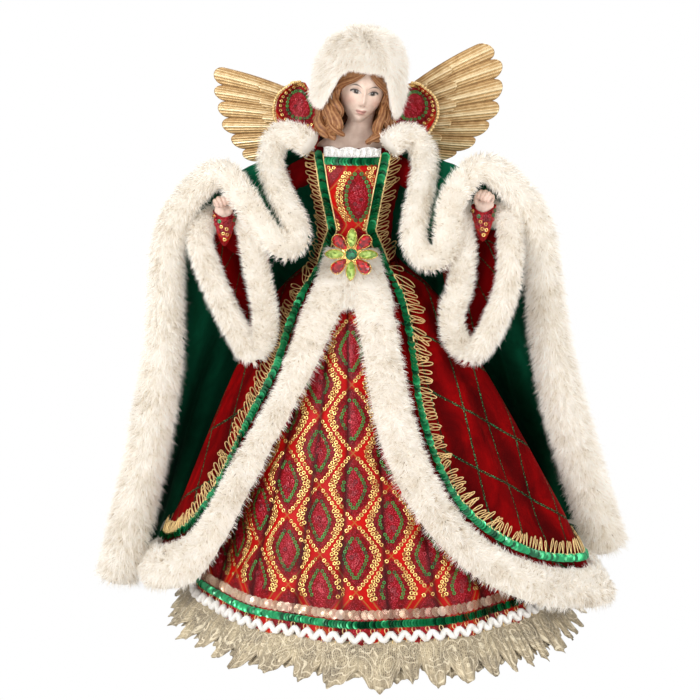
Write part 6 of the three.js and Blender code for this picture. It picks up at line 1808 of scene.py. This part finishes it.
# Brooch: a petalled setting with nine claw-set stones
# Cut glass over foil, sharp facets: painted facet reflections, deep or clear and bright in small patches at random, and
# a faint painted glow of the stone's own colour
def makeStone(name, deep, clear):
    material, tree, shader, place = newMaterial(name, Roughness=0.04, Coat_Weight=0.4, Coat_Roughness=0.02, IOR=1.6,
                                                Transmission_Weight=0.15, Emission_Strength=0.12)
    facets = addNode(tree, "TexVoronoi", place, Scale=620.0, take="Color")
    shade = addNode(tree, "SeparateXYZ", facets)
    colour = addNode(tree, "MixRGB", addNode(tree, "Math POWER", shade, 1.6), linear(deep), linear(clear))
    feed(shader, Base_Color=colour, Emission_Color=colour,
         Normal=addNode(tree, "Bump", Height=shade, Strength=0.25, Distance=0.0004))
    return material


emerald = makeStone("emerald_glass", "#03301c", "#1c9a63")
lime = makeStone("peridot_glass", "#66861a", "#cfe676")
ruby = makeStone("ruby_glass", "#5c0008", "#e00c18")
brightGold = makeThread("polished_gold_setting", "#8a6424", "#f1cf80", 0.95, 0.25)
brooch = {"place": [1.0, -33.6, 258.4], "tilt": 66, "plate": (7.0, 13.6), "post": 2.9, "claw": 0.36, "rim": 0.26,
          "round": (7.6, 7.6, 0.0), "navette": (12.4, 5.9, 10.9), "pear": (12.0, 10.2, 10.7)}  # length, width, reach
broochTurn = turnAbout((1, 0, 0), brooch["tilt"])


# Brooch millimetres tilted and moved on to the bodice
def onBrooch(points):
    return points @ broochTurn.T + brooch["place"]


# Round, pointed at both ends (a power of the sine) or narrower at the foot
def stoneOutline(kind, sides=16):
    turn = np.linspace(0, 2 * np.pi, sides, endpoint=False)
    y = np.cos(turn)
    if kind == "round":
        half = np.ones(sides)
    elif kind == "navette":
        half = np.sqrt(np.maximum(0, 1 - y * y)) ** 0.35
    else:
        half = 0.7 + 0.3 * y
    return np.stack([np.sin(turn) * half, y], 1)


# Seat, girdle, crown and table outlines, each half a facet round from the last
def cutStone(kind, length, width):
    outline = stoneOutline(kind, 32) * [width / 2, length / 2]
    even, odd = outline[::2], outline[1::2]
    rows = [(even * 0.86, 1.55), (even, 2.46), (odd * 0.84, 3.35), (even * 0.58, 4.15)]
    points = np.concatenate([np.column_stack([flat, np.full(16, high)]) for flat, high in rows])
    ring = np.arange(16)
    after = (ring + 1) % 16
    faces = [np.stack([ring, after, after + 16, ring + 16], 1)]
    tris = [np.stack([ring + 16, after + 16, ring + 32], 1), np.stack([after + 16, after + 32, ring + 32], 1),
            np.stack([ring + 32, after + 32, after + 48], 1), np.stack([ring + 32, after + 48, ring + 48], 1)]
    cap = [(ring + 48)[None], ring[None, ::-1]]
    return points, [f[:, ::-1] for f in faces + tris + cap]


petals = np.linspace(0, 2 * np.pi, 160, endpoint=False)
petalRadius = mix(*brooch["plate"], np.abs(np.cos(petals * 4)) ** 1.5)
flat = np.stack([petalRadius * np.cos(petals), petalRadius * np.sin(petals)], 1)
plateRings = [(0.0, 0.0), (0.96, 0.0), (1.0, 0.3), (1.0, 0.9), (0.96, 1.2), (0.0, 1.2)]
setting = np.concatenate([np.column_stack([flat * max(share, 0.001), np.full(160, high)])
                          for share, high in plateRings])
post = capsule(np.array([[0, 0, 0.6], [0, 0, -4.0], [0, 0, -9.2]]), brooch["post"], 1.0)
settingParts = [(setting, [gridFaces(6, 160, True)]), post]
for k in range(9):
    kind = "round" if k == 8 else ("navette" if k % 2 == 0 else "pear")
    length, width, reach = brooch[kind]
    spin = turnAbout((0, 0, 1), k * 45 if k < 8 else 0)
    points, faces = cutStone(kind, length, width)
    number = k // 2 + 1
    name, slot, glass, node = {"round": ("emerald", "emerald_stone", emerald, "brooch_center_stone"),
                               "navette": (f"peridot_{number}", "lime_stone", lime, f"brooch_navette_{number}"),
                               "pear": (f"ruby_{number}", "red_stone", ruby, f"brooch_pear_{number}")}[kind]
    addPiece(f"brooch_{name}", onBrooch((points + [0, reach, 0]) @ spin.T), faces, glass, slot, [node], flat=True)
    outline = stoneOutline(kind, 48) * [width / 2 + 0.25, length / 2 + 0.25]
    rim = np.column_stack([outline[:, 0], outline[:, 1] + reach, np.full(48, 2.1)]) @ spin.T
    settingParts.append(tubeMesh(rim, brooch["rim"], 6, closed=True))
    for at in (0, 12, 24, 36) if kind != "pear" else (6, 16, 32, 42):
        foot = np.array([outline[at, 0], outline[at, 1] + reach, 1.4])
        head = np.array([outline[at, 0] * 0.8, (outline[at, 1]) * 0.88 + reach, 3.4])
        knee = (foot + head) / 2 + [outline[at, 0] * 0.06, outline[at, 1] * 0.06, 0.2]
        settingParts.append(capsule(np.stack([foot, knee, head]) @ spin.T, brooch["claw"], 0.8, 8, 6))
points, faces = gather(settingParts)
addPiece("brooch_gold_setting", onBrooch(points), faces, brightGold, "gold", ["brooch_setting"])
print("brooch made")


# Pieces of the solid model that show as they are
def plainMaterial(name, dark, light, scale, rough, metallic=0.0, relief=0.3):
    material, tree, shader, place = newMaterial(name, Roughness=rough, Metallic=metallic)
    grain = addNode(tree, "TexNoise", place, Scale=scale, Detail=5, Roughness=0.55)
    feed(shader, Base_Color=addNode(tree, "ValToRGB", grain, stops=[(0.3, dark), (0.7, light)]),
         Normal=addNode(tree, "Bump", Height=grain, Strength=relief, Distance=0.0004))
    return material


card = plainMaterial("pressed_card", "#a99d88", "#cdc3b0", 500, 0.85)
wireMetal = plainMaterial("annealed_wire", "#5d6066", "#8f9297", 600, 0.4, 1.0, 0.1)
plateMetal = plainMaterial("blackened_steel", "#241f1e", "#3a3332", 300, 0.5, 0.6, 0.1)
carried = {"body_cone": card, "cone_rim_ring": card, "arm_wire_left": wireMetal, "arm_wire_right": wireMetal,
           "wing_plate": plateMetal, "wing_screw_left": plateMetal, "wing_screw_right": plateMetal}
for name, material in carried.items():
    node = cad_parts[name]
    node.data.materials.clear()
    node.data.materials.append(material)

# Floor, light and camera: a pale sweep that the camera sees as white, soft even lamps
world = bpy.data.worlds.new("studio")
bpy.context.scene.world = world
world.use_nodes = True
tree = world.node_tree
back = tree.nodes["Background"]
path = addNode(tree, "LightPath").node.outputs
seen = addNode(tree, "Math MAXIMUM", path["Is Camera Ray"], path["Is Transmission Ray"])
seen = addNode(tree, "Math MAXIMUM", seen, path["Is Glossy Ray"])
feed(back, (1, 1, 1, 1), addNode(tree, "Math MULTIPLY_ADD", seen, 0.52, 0.48))  # 1 where seen, 0.48 as the fill light
floorMaterial, tree, shader, _ = newMaterial("pale_floor", Roughness=0.9, Base_Color=(0.86, 0.86, 0.86, 1))
seenFloor = addNode(tree, "MixShader", addNode(tree, "LightPath", take="Is Camera Ray"), shader.outputs[0],
                    addNode(tree, "Emission", Strength=1.0))
feed(tree.nodes["Material Output"], seenFloor)
floorMesh = bpy.data.meshes.new("floor")
floorMesh.from_pydata([(-3, -3, -0.0008), (3, -3, -0.0008), (3, 3, -0.0008), (-3, 3, -0.0008)], [], [(0, 1, 2, 3)])
floorMesh.materials.append(floorMaterial)
floor = bpy.data.objects.new("floor", floorMesh)
bpy.context.scene.collection.objects.link(floor)
lamps = {"key_lamp": ((-1.1, -1.4, 1.2), 0.6, 22), "fill_lamp": ((1.4, -1.2, 0.7), 1.0, 11),
         "low_lamp": ((-0.2, -1.7, 0.3), 0.6, 5), "back_lamp": ((0.3, 1.5, 1.4), 0.8, 14)}  # place, size, power
for name, (place, size, power) in lamps.items():
    lamp = bpy.data.lights.new(name, "AREA")
    lamp.shape, lamp.size, lamp.energy = "DISK", size, power
    holder = bpy.data.objects.new(name, lamp)
    holder.location = place
    holder.rotation_mode = "QUATERNION"
    holder.rotation_quaternion = (Vector((0, 0, 0.2)) - Vector(place)).to_track_quat("-Z", "Y")
    bpy.context.scene.collection.objects.link(holder)

# Camera: 1.5 m away, 5 degrees to the right and 13 degrees up, as in the photograph
view = {"distance": 1500.0, "elevation": 13, "azimuth": 5, "target": [-3.0, 0.0, 187.5], "perPixel": 0.67, "wide": 700}
elevation, azimuth, target = math.radians(view["elevation"]), math.radians(view["azimuth"]), np.array(view["target"])
level = math.cos(elevation)
away = np.array([math.sin(azimuth) * level, -math.cos(azimuth) * level, math.sin(elevation)])
place = target + view["distance"] * away
cameraData = bpy.data.cameras.new("camera")
cameraData.sensor_width = 36
cameraData.lens = 36 * view["distance"] / (view["wide"] * view["perPixel"])
camera = bpy.data.objects.new("camera", cameraData)
camera.location = Vector(metres(place))
camera.rotation_mode = "QUATERNION"
camera.rotation_quaternion = (Vector(metres(target)) - Vector(metres(place))).to_track_quat("-Z", "Y")
bpy.context.scene.collection.objects.link(camera)
bpy.context.scene.camera = camera
bpy.context.scene.view_settings.view_transform = "Standard"
print("floor, lamps and camera set")
